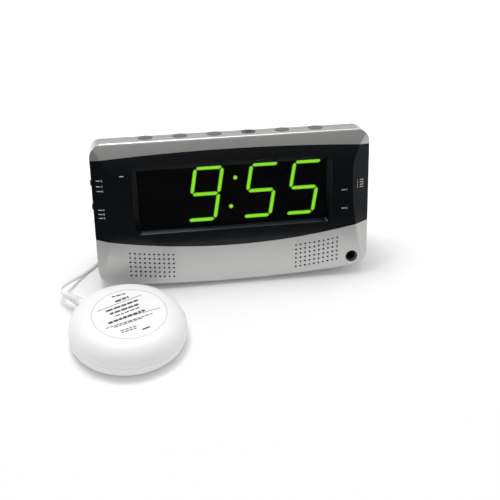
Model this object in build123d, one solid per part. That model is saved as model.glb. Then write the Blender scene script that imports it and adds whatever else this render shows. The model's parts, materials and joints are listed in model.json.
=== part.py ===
from build123d import *

import os
from math import ceil, cos, pi, radians, sin, sqrt, tan

# Bed shaker alarm clock: a digital clock that leans back on its base, with a corded vibrating puck.
# Sizes are in millimetres, X to the right, Y to the back, Z up. While the pieces are made, Y = 0
# is where the line of the leaning front meets the table; they are shifted when they are written.

# Case
LEAN = 15.0
CASE_WIDTH = 218.0
FACE_TOP = 123.0
UNDERSIDE = 3.0
UNDERSIDE_RADIUS = 1200.0
TOP_CORNER = 11.0
BOTTOM_CORNER = 14.0
EDGE_CHAMFER = 0.9
CROWN = 4.4
CROWN_DROP = 35.0
FACET_WIDTH = 14.0
SEAM = 11.5
SEAM_GROOVE = 0.4
TOP_DEPTH = 19.5
BASE_DEPTH = 64.0
REAR_TAPER = 8.0
FRONT_EDGE_ROUND = 2.0
REAR_EDGE_ROUND = 4.0
WALL = 2.5
TONGUE_THICK = 1.2
TONGUE_REACH = 3.0
FIT = 0.1
PLAY = 0.3

# Black visor, window and lens; a drop is measured down from the edge above, a lift up from the one below
BAND_DROP = 8.9
BAND_TOP_RADIUS = 1640.0
BAND_BOTTOM = 35.1
BAND_BOTTOM_RADIUS = 505.0
VISOR_THICK = 1.2
WINDOW_WIDTH = 149.6
WINDOW_DROP = 13.6
WINDOW_LIFT = 16.4
BEVEL_SIDE = 3.4
BEVEL_TOP = 4.6
BEVEL_BOTTOM = 2.8
WINDOW_CORNER = 1.5
WINDOW_RIM = 1.4
LENS_FRONT = 0.5
LENS_THICK = 1.5

# Display
MODULE_WIDTH = 148.0
MODULE_BORDER = 2.5
MODULE_THICK = 7.0
MODULE_GAP = 0.2
DIGIT_PLACES = (-56.4, -22.0, 22.0, 56.4)
DIGIT_SLANT = 0.17
DIGIT_LIFT = 4.0
SEGMENT_HALF_WIDTH = 10.55
SEGMENT_STROKE = 3.0
SEGMENT_GAP = 0.6
SEGMENT_DEPTH = 0.4
COLON_RISE = 11.65
COLON_RADIUS = 1.9

# Boards and case screws
BOARD_THICK = 1.6
BOARD_WIDTH = 180.0
BOARD_BORDER = 5.0
BOARD_POST_RADIUS = 2.8
BOARD_POST_INSET = 4.5
BOARD_SCREW_RADIUS = 1.2
BOARD_SCREW_LENGTH = 6.0
CASE_POST_RADIUS = 4.2
CASE_POST_INSET = 12.0
CASE_POST_DROP = 17.0
CASE_POST_LOW_X = 37.0
CASE_POST_LOW = 34.0
CASE_SCREW_RADIUS = 1.45
CASE_SCREW_LENGTH = 11.0
CASE_SCREW_SEAT = 3.0
SCREW_HEAD_RADIUS = 2.7
SCREW_HEAD_HEIGHT = 2.0

# Speakers and their grids of holes
GRID_COLUMNS = 10
GRID_ROWS = 6
GRID_COLUMN_PITCH = 3.78
GRID_ROW_PITCH = 3.85
GRID_INSET = 59.4
GRID_TOP = 28.2
GRID_BEND = 580.0
GRID_HOLE_RADIUS = 0.8
SPEAKER_RADIUS = 13.0
SPEAKER_SEAT = 4.0
SPEAKER_RING = 1.6
SPEAKER_FLANGE = 1.4
SPEAKER_DEPTH = 9.0
MAGNET_RADIUS = 9.0

# Buttons on the top
BUTTON_NAMES = ("alarm_one_button", "alarm_two_button", "time_button", "snooze_button", "hour_button",
                "minute_button")
BUTTON_COUNT = len(BUTTON_NAMES)
RAISED_MARK_BUTTON = 3
BUTTON_PITCH = 26.75
BUTTON_ROW_MIDDLE = 1.2
BUTTON_RADIUS = 5.6
BUTTON_PROUD = 0.3
BUTTON_EAR = 1.1
BUTTON_EAR_WIDTH = 6.0
BUTTON_EAR_THICK = 1.0
BUTTON_TRAVEL = 0.7
BUTTON_STEM_RADIUS = 2.0
BUTTON_BOARD_DEPTH = 13.0
TACT_SIZE = 6.0
TACT_HEIGHT = 3.5
TACT_PLUNGER_RADIUS = 1.7
TACT_PLUNGER_HEIGHT = 0.4
MARK_LENGTH = 4.0
MARK_WIDTH = 1.4
MARK_HEIGHT = 0.5

# Slide switches on the ends: drop of the knob from the top of the face, and travel
VIBRATION_DROP = 33.0
VIBRATION_TRAVEL = 3.6
ALARM_DROP = 52.5
ALARM_TRAVEL = 6.0
ALERT_DROP = 41.5
ALERT_TRAVEL = 6.6
KNOB_LENGTH = 4.0
KNOB_WIDTH = 3.0
KNOB_PROUD = 1.0
KNOB_FOOT = 2.0
SWITCH_DEPTH = 5.0
SWITCH_BORDER = 2.2

# Jacks
FRONT_JACK_INSET = 12.8
FRONT_JACK_HEIGHT = 16.4
FRONT_JACK_HOLE = 4.0
FRONT_JACK_RIM = 5.0
FRONT_JACK_SINK = 4.0
FRONT_JACK_COLLAR = 6.0
FRONT_JACK_BODY = 3.2
JACK_BORE = 1.8
JACK_BORE_DEPTH = 14.0
JACK_NOSE = 3.5
JACK_BODY_WIDTH = 9.0
JACK_BODY_LENGTH = 13.0
REAR_JACK_X = 62.0
REAR_JACK_HEIGHT = 12.0
INLET_BORE = 2.75
INLET_PIN = 1.0
INLET_NOSE = 4.2

# Backup battery in the rear
BATTERY_LENGTH = 48.5
BATTERY_WIDTH = 26.5
BATTERY_THICK = 17.5
BATTERY_FOOT = 12.0
BATTERY_ROUND = 2.2
BATTERY_PLAY = 0.6
SNAP_THICK = 3.0
TRAY_WALL = 1.5
DOOR_THICK = 1.8
DOOR_LEDGE = 1.6
DOOR_GRIPS = 2

# Feet
FOOT_RADIUS = 5.0
FOOT_X = 60.0
FOOT_FRONT = 18.0
FOOT_INSET = 10.0

# Shaker
SHAKER_X = -90.0
SHAKER_Y = -55.4
SHAKER_RADIUS = 44.2
SHAKER_HEIGHT = 25.0
SHAKER_SEAM = 10.5
SHAKER_SHOULDER = 14.0
SHAKER_FOOT_ROUND = 7.5
SHAKER_WALL = 2.2
SHAKER_LIP = 1.3
SHAKER_LIP_RISE = 2.6
SEAM_CHAMFER = 0.45
LABEL_RADIUS = 27.7
LABEL_THICK = 0.25
LABEL_SHIFT = 1.8
SHAKER_POST_PLACE = 33.5
SHAKER_POST_RADIUS = 3.4
SHAKER_POST_ANGLES = (75.0, 195.0, 285.0)
SHAKER_SCREW_RADIUS = 1.4
SHAKER_SCREW_LENGTH = 9.0

# Shaker motor
MOTOR_RADIUS = 9.0
MOTOR_LENGTH = 28.0
MOTOR_END = 3.0
MOTOR_AXIS = 12.2
MOTOR_BOSS_RADIUS = 3.0
MOTOR_BOSS_LENGTH = 1.2
SHAFT_RADIUS = 1.0
SHAFT_GRIP = 8.0
RUNNING_CLEARANCE = 0.05
WEIGHT_RADIUS = 8.6
WEIGHT_LENGTH = 14.0
WEIGHT_HUB = 3.0
WEIGHT_GAP = 1.0
CRADLE_THICK = 3.0
CRADLE_INSET = 6.0
CLAMP_WIDTH = 8.0
CLAMP_THICK = 1.0
CLAMP_EAR = 7.0

# Strain relief and cord
RELIEF_ANGLE = 134.3
RELIEF_REACH = 67.5
RELIEF_COLLAR = 4.3
RELIEF_RIBS = 6
RELIEF_RIB_PITCH = 2.35
RELIEF_RIB_STEP = 0.7
RELIEF_BASE_RADIUS = 4.0
RELIEF_TIP_RADIUS = 2.2
RELIEF_FLANGE = 1.4
CORD_RADIUS = 1.4
CORD_BEND = ((-139.5, -3.3, 10.45), (-139.3, -0.5, 10.2), (-137.6, 2.7, 9.5), (-134.9, 7.5, 8.0),
             (-129.7, 15.2, 5.4), (-124.1, 22.3, 3.0))
CORD_REST = ((-118.8, 29.5, 1.75), (-111.2, 37.6, 1.5), (-105.6, 46.6, 1.5), (-100.3, 55.8, 1.5),
             (-94.5, 64.7, 1.5), (-86.0, 71.8, 1.5), (-75.2, 75.8, 1.5), (-63.0, 77.2, 1.6),
             (-50.4, 76.6, 1.9))
COIL_X = -22.0
COIL_Y = 98.0
COIL_INNER = 11.1
COIL_LAYERS = 4
COIL_LAYER_TURNS = 3
COIL_PITCH = 3.8
COIL_RISE = 3.45
COIL_LIFT = 0.95
TAIL_REST = ((-42.6, 118.6, 11.8), (-51.4, 113.8, 11.4), (-57.8, 106.6, 13.2))
TIE_WIDTH = 6.0
TIE_THICK = 0.7
TIE_PLAY = 0.6
PLUG_BARREL_RADIUS = 4.2
PLUG_BARREL = 15.0
PLUG_NECK = 10.0
PLUG_SHOULDER_RADIUS = 3.4
PLUG_NECK_RADIUS = 2.1
PLUG_PIN_RADIUS = 1.75
BEND_SHARE = 0.45
RELIEF_LEAD = 2.2
COIL_LEAD = 8.4
PLUG_LEAD = 7.0

# Worked-out frame of the leaning face: u to the right, v up the face, w out of it
HALF = CASE_WIDTH / 2
REACH = 2 * CASE_WIDTH
CROWN_HEIGHT = FACE_TOP - CROWN_DROP
BAND_TOP = FACE_TOP - BAND_DROP
WINDOW_TOP, WINDOW_FOOT = BAND_TOP - WINDOW_DROP, BAND_BOTTOM + WINDOW_LIFT
WINDOW_HEIGHT = WINDOW_TOP - WINDOW_FOOT
WINDOW_MIDDLE = (WINDOW_TOP + WINDOW_FOOT) / 2
DIGIT_MIDDLE = WINDOW_MIDDLE + DIGIT_LIFT / 2
SEGMENT_RISE = (WINDOW_HEIGHT - DIGIT_LIFT - SEGMENT_STROKE) / 2
MODULE_HEIGHT = WINDOW_HEIGHT + 2 * MODULE_BORDER
BOARD_HEIGHT = MODULE_HEIGHT + 2 * BOARD_BORDER
GRID_INNER = HALF - GRID_INSET
FRONT_JACK_X = HALF - FRONT_JACK_INSET
RISE, RUN = cos(radians(LEAN)), sin(radians(LEAN))
UP_FACE = Vector(0, RUN, RISE)
OUT_OF_FACE = Vector(0, -RISE, RUN)
FACE = Plane(origin=(0, 0, 0), x_dir=(1, 0, 0), z_dir=OUT_OF_FACE)
SIDE = Plane(origin=(0, 0, 0), x_dir=UP_FACE, z_dir=(1, 0, 0))
PLAN = Plane(origin=(0, 0, 0), x_dir=(1, 0, 0), z_dir=-UP_FACE)
FACE_FOOT = UNDERSIDE / RISE
BACK_FOOT = (BASE_DEPTH * RUN + UNDERSIDE * RISE, UNDERSIDE * RUN - BASE_DEPTH * RISE)
BACK_TOP = (FACE_TOP, -TOP_DEPTH)
BACK_UP = (UP_FACE * (BACK_TOP[0] - BACK_FOOT[0]) + OUT_OF_FACE * (BACK_TOP[1] - BACK_FOOT[1])).normalized()
BACK = Plane(origin=(0, BASE_DEPTH, UNDERSIDE), x_dir=(-1, 0, 0), z_dir=Vector(-1, 0, 0).cross(BACK_UP))
ORIGIN = Vector(SHAKER_X - SHAKER_RADIUS + HALF + KNOB_PROUD, SHAKER_Y - SHAKER_RADIUS + BASE_DEPTH, 0) / 2


def on_face(u, v, w):
    """Plane parallel to the face, at a place on it."""
    return Plane(origin=FACE.from_local_coords((u, v, w)), x_dir=FACE.x_dir, z_dir=FACE.z_dir)


def box_on(plane, width, height, depth):
    """Block centred on a plane's origin, standing out of it by its depth."""
    return plane * Pos(0, 0, depth / 2) * Box(width, height, depth)


def rod_on(plane, radius, length):
    """Cylinder that stands out of a plane, or into it where the length is negative."""
    return extrude(plane * Circle(radius), length)


def tube_on(plane, outer, inner, length):
    return rod_on(plane, outer, length) - rod_on(plane, inner, length)


def face_depth(v):
    """How far the crowned front stands out at a height on the face."""
    span = CROWN_HEIGHT - FACE_FOOT if v < CROWN_HEIGHT else FACE_TOP - CROWN_HEIGHT
    radius = (span**2 + CROWN**2) / (2 * CROWN)
    return CROWN - radius + sqrt(radius**2 - (v - CROWN_HEIGHT) ** 2)


def arc_over(low, high):
    """Arc of the front's side view between two heights."""
    middle = (low + high) / 2
    return ThreePointArc(*((v, face_depth(v)) for v in (low, middle, high)))


def side_outline():
    """Side view of the case: crowned front, top strip, sloping back, with its top edges rounded."""
    low = -FACE_TOP / 6
    back_rise, back_run = BACK_TOP[0] - BACK_FOOT[0], BACK_TOP[1] - BACK_FOOT[1]
    below = (BACK_FOOT[0] - back_rise / 2, BACK_FOOT[1] - back_run / 2)
    front = [arc_over(low, CROWN_HEIGHT), arc_over(CROWN_HEIGHT, FACE_TOP)]
    back = Polyline((FACE_TOP, face_depth(FACE_TOP)), BACK_TOP, below, (low, face_depth(low)))
    outline = make_face([*front[0].edges(), *front[1].edges(), *back.edges()])
    rear = outline.vertices().group_by(Axis.X)[-1].sort_by(Axis.Y)[0]
    outline = fillet(rear, REAR_EDGE_ROUND)
    fore = outline.vertices().group_by(Axis.X)[-1].sort_by(Axis.Y)[-1]
    return fillet(fore, FRONT_EDGE_ROUND)


def top_outline():
    outline = Rectangle(CASE_WIDTH, 2 * FACE_TOP)
    return fillet(outline.vertices().group_by(Axis.Y)[-1], TOP_CORNER)


def bottom_outline(stretch=1.0, margin=0.0):
    """Front view of the underside and its corners, stretched up and moved out by a margin on request."""
    half = HALF + margin
    sag = UNDERSIDE_RADIUS - sqrt(UNDERSIDE_RADIUS**2 - half**2)
    low, end = UNDERSIDE * stretch + margin, (UNDERSIDE + sag) * stretch + margin
    under = ThreePointArc((-half, end), (0, low), (half, end))
    over = Polyline((half, end), (half, 2 * FACE_TOP), (-half, 2 * FACE_TOP), (-half, end))
    outline = make_face([*under.edges(), *over.edges()])
    return fillet(outline.vertices().group_by(Axis.Y)[0], BOTTOM_CORNER)


def plan_outline():
    beyond = 3
    half = [(HALF - beyond * FACET_WIDTH, beyond * CROWN), (HALF, 0), (HALF, -TOP_DEPTH),
            (HALF - REAR_TAPER, -TOP_DEPTH - BASE_DEPTH)]
    return make_face(Polyline(*half, *((-u, w) for u, w in reversed(half)), close=True).edges())


def case_form(inset=0.0):
    """The case's outer form, or the same form with every wall moved in."""
    form = None
    chamfered = bottom_outline(1 / RISE, EDGE_CHAMFER)
    for plane, outline, way in ((SIDE, side_outline(), SIDE.z_dir), (FACE, top_outline(), FACE.z_dir),
                                (Plane.XZ, bottom_outline(), Plane.XZ.z_dir),
                                (PLAN, plan_outline(), PLAN.z_dir),
                                (FACE, chamfered, UP_FACE + OUT_OF_FACE)):
        if inset:
            outline = offset(outline, -inset, kind=Kind.INTERSECTION)
        prism = extrude(plane * outline, REACH, dir=way, both=True)
        form = prism if form is None else form & prism
    return form


def front_half():
    return extrude(FACE.offset(-SEAM) * Rectangle(REACH, REACH), REACH)


def back_half():
    return extrude(FACE.offset(-SEAM) * Rectangle(REACH, REACH), -REACH)


def band_prism():
    """Everything behind the lens-shaped black band, from end to end."""
    wide = HALF * 1.1
    top_end = BAND_TOP - BAND_TOP_RADIUS + sqrt(BAND_TOP_RADIUS**2 - wide**2)
    low_end = BAND_BOTTOM + BAND_BOTTOM_RADIUS - sqrt(BAND_BOTTOM_RADIUS**2 - wide**2)
    top = ThreePointArc((-wide, top_end), (0, BAND_TOP), (wide, top_end))
    low = ThreePointArc((-wide, low_end), (0, BAND_BOTTOM), (wide, low_end))
    ends = [Line((side * wide, low_end), (side * wide, top_end)) for side in (-1, 1)]
    band = make_face([*top.edges(), *low.edges(), *ends[0].edges(), *ends[1].edges()])
    return extrude(FACE * band, REACH, both=True)


def window_outline(side, top, bottom, corner):
    """Rounded window with a margin on each edge."""
    height = WINDOW_HEIGHT + top + bottom
    middle = WINDOW_MIDDLE + (top - bottom) / 2
    return Pos(0, middle) * RectangleRounded(WINDOW_WIDTH + 2 * side, height, corner)


def window_bevel():
    """The space in front of the lens, flaring out to the face."""
    inner = window_outline(0, 0, 0, WINDOW_CORNER)
    outer = window_outline(BEVEL_SIDE, BEVEL_TOP, BEVEL_BOTTOM, WINDOW_CORNER + BEVEL_SIDE)
    flare = loft([FACE.offset(LENS_FRONT) * inner, FACE.offset(CROWN) * outer])
    return flare + extrude(FACE.offset(CROWN) * outer, CROWN)


def window_block():
    """The window frame's outside, from the lens seat forward."""
    rim = WINDOW_RIM
    outline = window_outline(BEVEL_SIDE + rim, BEVEL_TOP + rim, BEVEL_BOTTOM + rim, WINDOW_CORNER)
    return extrude(FACE.offset(LENS_FRONT) * outline, 2 * CROWN)


def grid_places(side):
    """Hole centres of one speaker grid: rows that bend upwards to the ends, as the band's edge does."""
    for column in range(GRID_COLUMNS):
        u = side * (GRID_INNER + column * GRID_COLUMN_PITCH)
        sag = GRID_BEND - sqrt(GRID_BEND**2 - u**2)
        for row in range(GRID_ROWS):
            yield u, GRID_TOP - row * GRID_ROW_PITCH + sag


def speaker_place(side):
    places = list(grid_places(side))
    return tuple(sum(place[axis] for place in places) / len(places) for axis in (0, 1))


def button_places():
    middle = (BUTTON_COUNT - 1) / 2
    return [BUTTON_ROW_MIDDLE + (number - middle) * BUTTON_PITCH for number in range(BUTTON_COUNT)]


def button_plane(u, below=0.0):
    """Plane across a button's axis, below the top of the case; its normal points up the face."""
    origin = FACE.from_local_coords((u, FACE_TOP - below, -SEAM))
    return Plane(origin=origin, x_dir=(1, 0, 0), z_dir=UP_FACE)


SWITCHES = {
    "vibration_switch_knob": (-1, FACE_TOP - VIBRATION_DROP, VIBRATION_TRAVEL),
    "alarm_select_knob": (-1, FACE_TOP - ALARM_DROP, ALARM_TRAVEL),
    "alert_mode_knob": (1, FACE_TOP - ALERT_DROP, ALERT_TRAVEL),
}


def switch_block(switch, inner, outer, margin, width):
    """Block that runs out through an end wall and covers a knob's travel, with a margin."""
    side, place, travel = switch
    low, high = place - travel - KNOB_LENGTH / 2 - margin, place + KNOB_LENGTH / 2 + margin
    plane = on_face(side * (inner + outer) / 2, (low + high) / 2, -SEAM)
    return plane * Box(outer - inner, high - low, width)


def switch_slots():
    return [switch_block(switch, HALF - WALL - KNOB_FOOT, HALF + WALL, PLAY, KNOB_WIDTH + 2 * PLAY)
            for switch in SWITCHES.values()]


def case_post_places():
    high = [(side * (HALF - CASE_POST_INSET), FACE_TOP - CASE_POST_DROP) for side in (-1, 1)]
    low = [(side * CASE_POST_LOW_X, CASE_POST_LOW) for side in (-1, 1)]
    return high + low


MODULE_FRONT = LENS_FRONT - LENS_THICK - MODULE_GAP
BOARD_FRONT = MODULE_FRONT - MODULE_THICK
BOARD_BACK = BOARD_FRONT - BOARD_THICK
BUTTON_EAR_TOP = WALL + FIT
BUTTON_STEM_FOOT = BUTTON_EAR_TOP + BUTTON_EAR_THICK + BUTTON_EAR_THICK / 2
TACT_TOP = BUTTON_STEM_FOOT + BUTTON_TRAVEL + FIT
BUTTON_BOARD_TOP = TACT_TOP + TACT_PLUNGER_HEIGHT + TACT_HEIGHT
BUTTON_BOARD_WIDTH = BUTTON_COUNT * BUTTON_PITCH


def board_post_places():
    half_width, half_height = BOARD_WIDTH / 2 - BOARD_POST_INSET, BOARD_HEIGHT / 2 - BOARD_POST_INSET
    return [(side * half_width, WINDOW_MIDDLE + end * half_height) for side in (-1, 1) for end in (-1, 1)]


def battery_middle():
    """Middle of the battery on the back's plane, up from the foot of the back."""
    return BATTERY_FOOT + BATTERY_WIDTH / 2


def back_block(middle, width, height, front, back):
    """Block on the back's plane; front and back are depths, negative inside the case."""
    plane = BACK.offset(front)
    return plane * Pos(0, middle, (back - front) / 2) * Box(width, height, back - front)


def tray_size(border):
    length = BATTERY_LENGTH + SNAP_THICK + 2 * BATTERY_PLAY + 2 * border
    return length, BATTERY_WIDTH + 2 * BATTERY_PLAY + 2 * border


def rear_jack_plane(side):
    """Plane on the back at a jack; the shaker's jack is on the left, the inlet on the right."""
    origin = BACK.from_local_coords((-side * REAR_JACK_X, REAR_JACK_HEIGHT, 0))
    return Plane(origin=origin, x_dir=BACK.x_dir, z_dir=BACK.z_dir)


def front_jack_plane():
    """Plane at the mouth of the front jack, sunk below the face."""
    sink = face_depth(FRONT_JACK_HEIGHT) - FRONT_JACK_SINK
    return on_face(FRONT_JACK_X, FRONT_JACK_HEIGHT, sink)


def make_front(outer, inner, visor_inner):
    """Front bezel and visor, from the case's outer form and its insides."""
    skin = (outer - visor_inner) & band_prism()
    block = window_block() & outer
    visor = ((skin + block) & front_half()) - window_bevel()
    bezel = (outer - inner) & front_half()
    for u, v in case_post_places():
        bezel += rod_on(on_face(u, v, -SEAM), CASE_POST_RADIUS, SEAM + CROWN) & outer
    for u, v in board_post_places():
        bezel += rod_on(on_face(u, v, BOARD_FRONT), BOARD_POST_RADIUS, CROWN - BOARD_FRONT) & outer
    for side in (-1, 1):
        seat = on_face(*speaker_place(side), -SPEAKER_SEAT)
        ring = tube_on(seat, SPEAKER_RADIUS, SPEAKER_RADIUS - SPEAKER_RING, SPEAKER_SEAT + CROWN)
        bezel += ring & outer
    bezel += button_ledges() & outer
    collar = front_jack_plane().offset(-WALL)
    bezel += rod_on(collar, FRONT_JACK_COLLAR, WALL + FRONT_JACK_SINK + CROWN) & outer
    bezel -= skin + window_block()
    for u, v in case_post_places():
        bezel -= rod_on(on_face(u, v, -SEAM), CASE_SCREW_RADIUS, CASE_SCREW_LENGTH - CASE_SCREW_SEAT + PLAY)
    for u, v in board_post_places():
        bezel -= rod_on(on_face(u, v, BOARD_FRONT), BOARD_SCREW_RADIUS, BOARD_SCREW_LENGTH + PLAY)
    bezel -= grid_holes()
    bezel -= front_jack_hole()
    cuts = button_holes() + switch_slots()
    return bezel - cuts, visor - switch_slots()


def button_ledges():
    """Two ledges between the buttons, from the front wall back under the button board."""
    ledges = Part()
    for side in (-1, 1):
        middle = FACE_TOP - BUTTON_BOARD_TOP - BOARD_THICK - WALL / 2
        u = BUTTON_ROW_MIDDLE + side * 2 * BUTTON_PITCH
        ledges += box_on(on_face(u, middle, -SEAM), WALL, WALL, SEAM + CROWN)
    return ledges


def grid_holes():
    places = [Pos(u, v) for side in (-1, 1) for u, v in grid_places(side)]
    holes = [place * Circle(GRID_HOLE_RADIUS) for place in places]
    return [extrude(FACE.offset(-SPEAKER_SEAT) * hole, SPEAKER_SEAT + 2 * CROWN) for hole in holes]


def front_jack_hole():
    """Round recess that narrows to the jack's own hole at its foot."""
    foot = front_jack_plane()
    hole = rod_on(foot.offset(-2 * WALL), FRONT_JACK_HOLE, 2 * WALL)
    flare_top = 2 * FRONT_JACK_RIM - FRONT_JACK_HOLE
    flare = foot.offset(FRONT_JACK_SINK) * Cone(FRONT_JACK_HOLE, flare_top, 2 * FRONT_JACK_SINK)
    return hole + flare


def button_holes():
    return [rod_on(button_plane(u, 2 * WALL), BUTTON_RADIUS + PLAY, 4 * WALL) for u in button_places()]


def make_rear_case(outer, inner, tongue_outer, tongue_inner, groove_inner):
    case = (outer - inner) & back_half()
    ledge_top = FACE_TOP - TOP_CORNER - 2 * WALL
    ring_zone = extrude(FACE.offset(-SEAM - TONGUE_REACH) * Pos(0, ledge_top / 2 - FACE_TOP / 2)
                        * Rectangle(REACH, ledge_top + FACE_TOP), 2 * TONGUE_REACH)
    case += (tongue_outer - tongue_inner) & ring_zone & front_half()
    case += (outer - tongue_inner) & ring_zone & back_half()
    for u, v in case_post_places():
        case += rod_on(on_face(u, v, -SEAM), CASE_POST_RADIUS, -REACH) & outer
    tray_length, tray_width = tray_size(TRAY_WALL)
    tray_floor = -(DOOR_THICK + BATTERY_THICK + BATTERY_PLAY)
    case += back_block(battery_middle(), tray_length, tray_width, tray_floor - TRAY_WALL, -WALL)
    case -= back_block(battery_middle(), *tray_size(0), tray_floor, WALL)
    case -= back_block(battery_middle(), *tray_size(DOOR_LEDGE + PLAY), -DOOR_THICK - FIT, WALL)
    for u, v in case_post_places():
        case -= rod_on(on_face(u, v, -SEAM), CASE_SCREW_RADIUS + FIT, -REACH)
        case -= rod_on(on_face(u, v, -SEAM - CASE_SCREW_SEAT), SCREW_HEAD_RADIUS + PLAY, -REACH)
    case -= rod_on(rear_jack_plane(-1).offset(-2 * WALL), JACK_NOSE + FIT, 4 * WALL)
    case -= rod_on(rear_jack_plane(1).offset(-2 * WALL), INLET_NOSE + FIT, 4 * WALL)
    case -= rod_on(front_jack_plane(), FRONT_JACK_BODY + PLAY, -JACK_BORE_DEPTH - 2 * WALL)
    case -= switch_places_inside()
    groove_slab = extrude(FACE.offset(-SEAM) * Rectangle(REACH, REACH), -SEAM_GROOVE)
    case -= (outer - groove_inner) & groove_slab
    return case - (button_holes() + switch_slots())


def switch_places_inside():
    """Room for the switch bodies in the tongue behind the end walls."""
    return [switch_block(switch, HALF - WALL - SWITCH_DEPTH - FIT, HALF - WALL, SWITCH_BORDER + FIT,
                         KNOB_WIDTH + 2 * SWITCH_BORDER + 2 * FIT) for switch in SWITCHES.values()]


def make_battery_door():
    length, width = tray_size(DOOR_LEDGE)
    door = back_block(battery_middle(), length, width, -DOOR_THICK, 0)
    top_line = battery_middle() + width / 2 - 3 * DOOR_THICK
    grip = back_block(top_line, length / 3, DOOR_THICK, -DOOR_THICK / 2, DOOR_THICK)
    return door - [Pos(BACK_UP * (-line * 2 * DOOR_THICK)) * grip for line in range(DOOR_GRIPS)]


def make_battery():
    place = BACK.offset(-DOOR_THICK - BATTERY_PLAY / 2 - BATTERY_THICK / 2) * Pos(0, battery_middle(), 0)
    block = place * Pos(SNAP_THICK / 2, 0, 0) * Box(BATTERY_LENGTH, BATTERY_WIDTH, BATTERY_THICK)
    battery = fillet(block.edges().filter_by(Axis.X), BATTERY_ROUND)
    snap_thick = BATTERY_THICK - 2 * BATTERY_PLAY
    snap = place * Pos(-BATTERY_LENGTH / 2, 0, 0) * Box(SNAP_THICK, BATTERY_WIDTH, snap_thick)
    return battery, snap


def segment(length):
    """Corners of a bar with pointed ends, along X, centred."""
    half, point = length / 2 - SEGMENT_GAP, SEGMENT_STROKE / 2
    return [(half, 0), (half - point, point), (point - half, point), (-half, 0),
            (point - half, -point), (half - point, -point)]


def digit_segments():
    """Corners of the seven bars of an upright digit, keyed by their place."""
    flat = segment(2 * SEGMENT_HALF_WIDTH)
    upright = [(-y, x) for x, y in segment(SEGMENT_RISE)]
    bars = {}
    for name, rise in (("top", 1), ("middle", 0), ("bottom", -1)):
        bars[name] = [(x, y + rise * SEGMENT_RISE) for x, y in flat]
    for name, side, rise in (("upper_left", -1, 1), ("upper_right", 1, 1),
                             ("lower_left", -1, -1), ("lower_right", 1, -1)):
        bars[name] = [(x + side * SEGMENT_HALF_WIDTH, y + rise * SEGMENT_RISE / 2) for x, y in upright]
    return bars


NINE = ("top", "upper_left", "upper_right", "middle", "lower_right", "bottom")
FIVE = ("top", "upper_left", "middle", "lower_right", "bottom")
SHOWN = ((), NINE, FIVE, FIVE)


def slanted(corners, u):
    """Solid of a bar on the module's front, leaned to the right with its digit."""
    leaned = [(x + DIGIT_SLANT * y + u, y + DIGIT_MIDDLE) for x, y in corners]
    bar = make_face(Polyline(*leaned, close=True).edges())
    return extrude(FACE.offset(MODULE_FRONT - SEGMENT_DEPTH) * bar, SEGMENT_DEPTH)


def make_segments():
    """Lit bars with the colon, and the bars that are off."""
    lit, unlit = [], []
    for place, shown in zip(DIGIT_PLACES, SHOWN):
        for name, bar in digit_segments().items():
            (lit if name in shown else unlit).append(slanted(bar, place))
    for side in (-1, 1):
        plane = on_face(side * DIGIT_SLANT * COLON_RISE, DIGIT_MIDDLE + side * COLON_RISE, MODULE_FRONT)
        lit.append(rod_on(plane, COLON_RADIUS, -SEGMENT_DEPTH))
    return lit, unlit


def make_display(lit, unlit):
    module = box_on(on_face(0, WINDOW_MIDDLE, BOARD_FRONT), MODULE_WIDTH, MODULE_HEIGHT, MODULE_THICK)
    module -= lit + unlit
    middle = WINDOW_MIDDLE + (BEVEL_TOP - BEVEL_BOTTOM) / 2
    lens = box_on(on_face(0, middle, LENS_FRONT - LENS_THICK), WINDOW_WIDTH + 2 * (BEVEL_SIDE + WINDOW_RIM),
                  WINDOW_HEIGHT + BEVEL_TOP + BEVEL_BOTTOM + 2 * WINDOW_RIM, LENS_THICK)
    return module, lens


def make_boards():
    board = box_on(on_face(0, WINDOW_MIDDLE, BOARD_BACK), BOARD_WIDTH, BOARD_HEIGHT, BOARD_THICK)
    for u, v in board_post_places():
        board -= rod_on(on_face(u, v, BOARD_BACK), BOARD_SCREW_RADIUS + FIT, BOARD_THICK)
    board_screws = [screw(on_face(u, v, BOARD_BACK), BOARD_SCREW_RADIUS - FIT / 2, BOARD_SCREW_LENGTH)
                    for u, v in board_post_places()]
    top = button_plane(BUTTON_ROW_MIDDLE, BUTTON_BOARD_TOP + BOARD_THICK)
    button_board = box_on(top, BUTTON_BOARD_WIDTH, BUTTON_BOARD_DEPTH, BOARD_THICK)
    tacts = []
    for u in button_places():
        body = box_on(button_plane(u, BUTTON_BOARD_TOP), TACT_SIZE, TACT_SIZE, TACT_HEIGHT)
        body_top = button_plane(u, BUTTON_BOARD_TOP - TACT_HEIGHT)
        tacts.append(body + rod_on(body_top, TACT_PLUNGER_RADIUS, TACT_PLUNGER_HEIGHT))
    return board, board_screws, button_board, tacts


def screw(plane, radius, length):
    """Pan-head screw: its head stands below the plane, its shank above it."""
    head = fillet(rod_on(plane, SCREW_HEAD_RADIUS, -SCREW_HEAD_HEIGHT).edges().group_by(Axis(
        tuple(plane.origin), tuple(plane.z_dir)))[0], SCREW_HEAD_HEIGHT / 4)
    drive = [plane.offset(-SCREW_HEAD_HEIGHT) * Rot(0, 0, turn)
             * Box(SCREW_HEAD_RADIUS, SCREW_HEAD_RADIUS / 5, SCREW_HEAD_HEIGHT) for turn in (0, 90)]
    return head + rod_on(plane, radius, length) - drive


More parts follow.
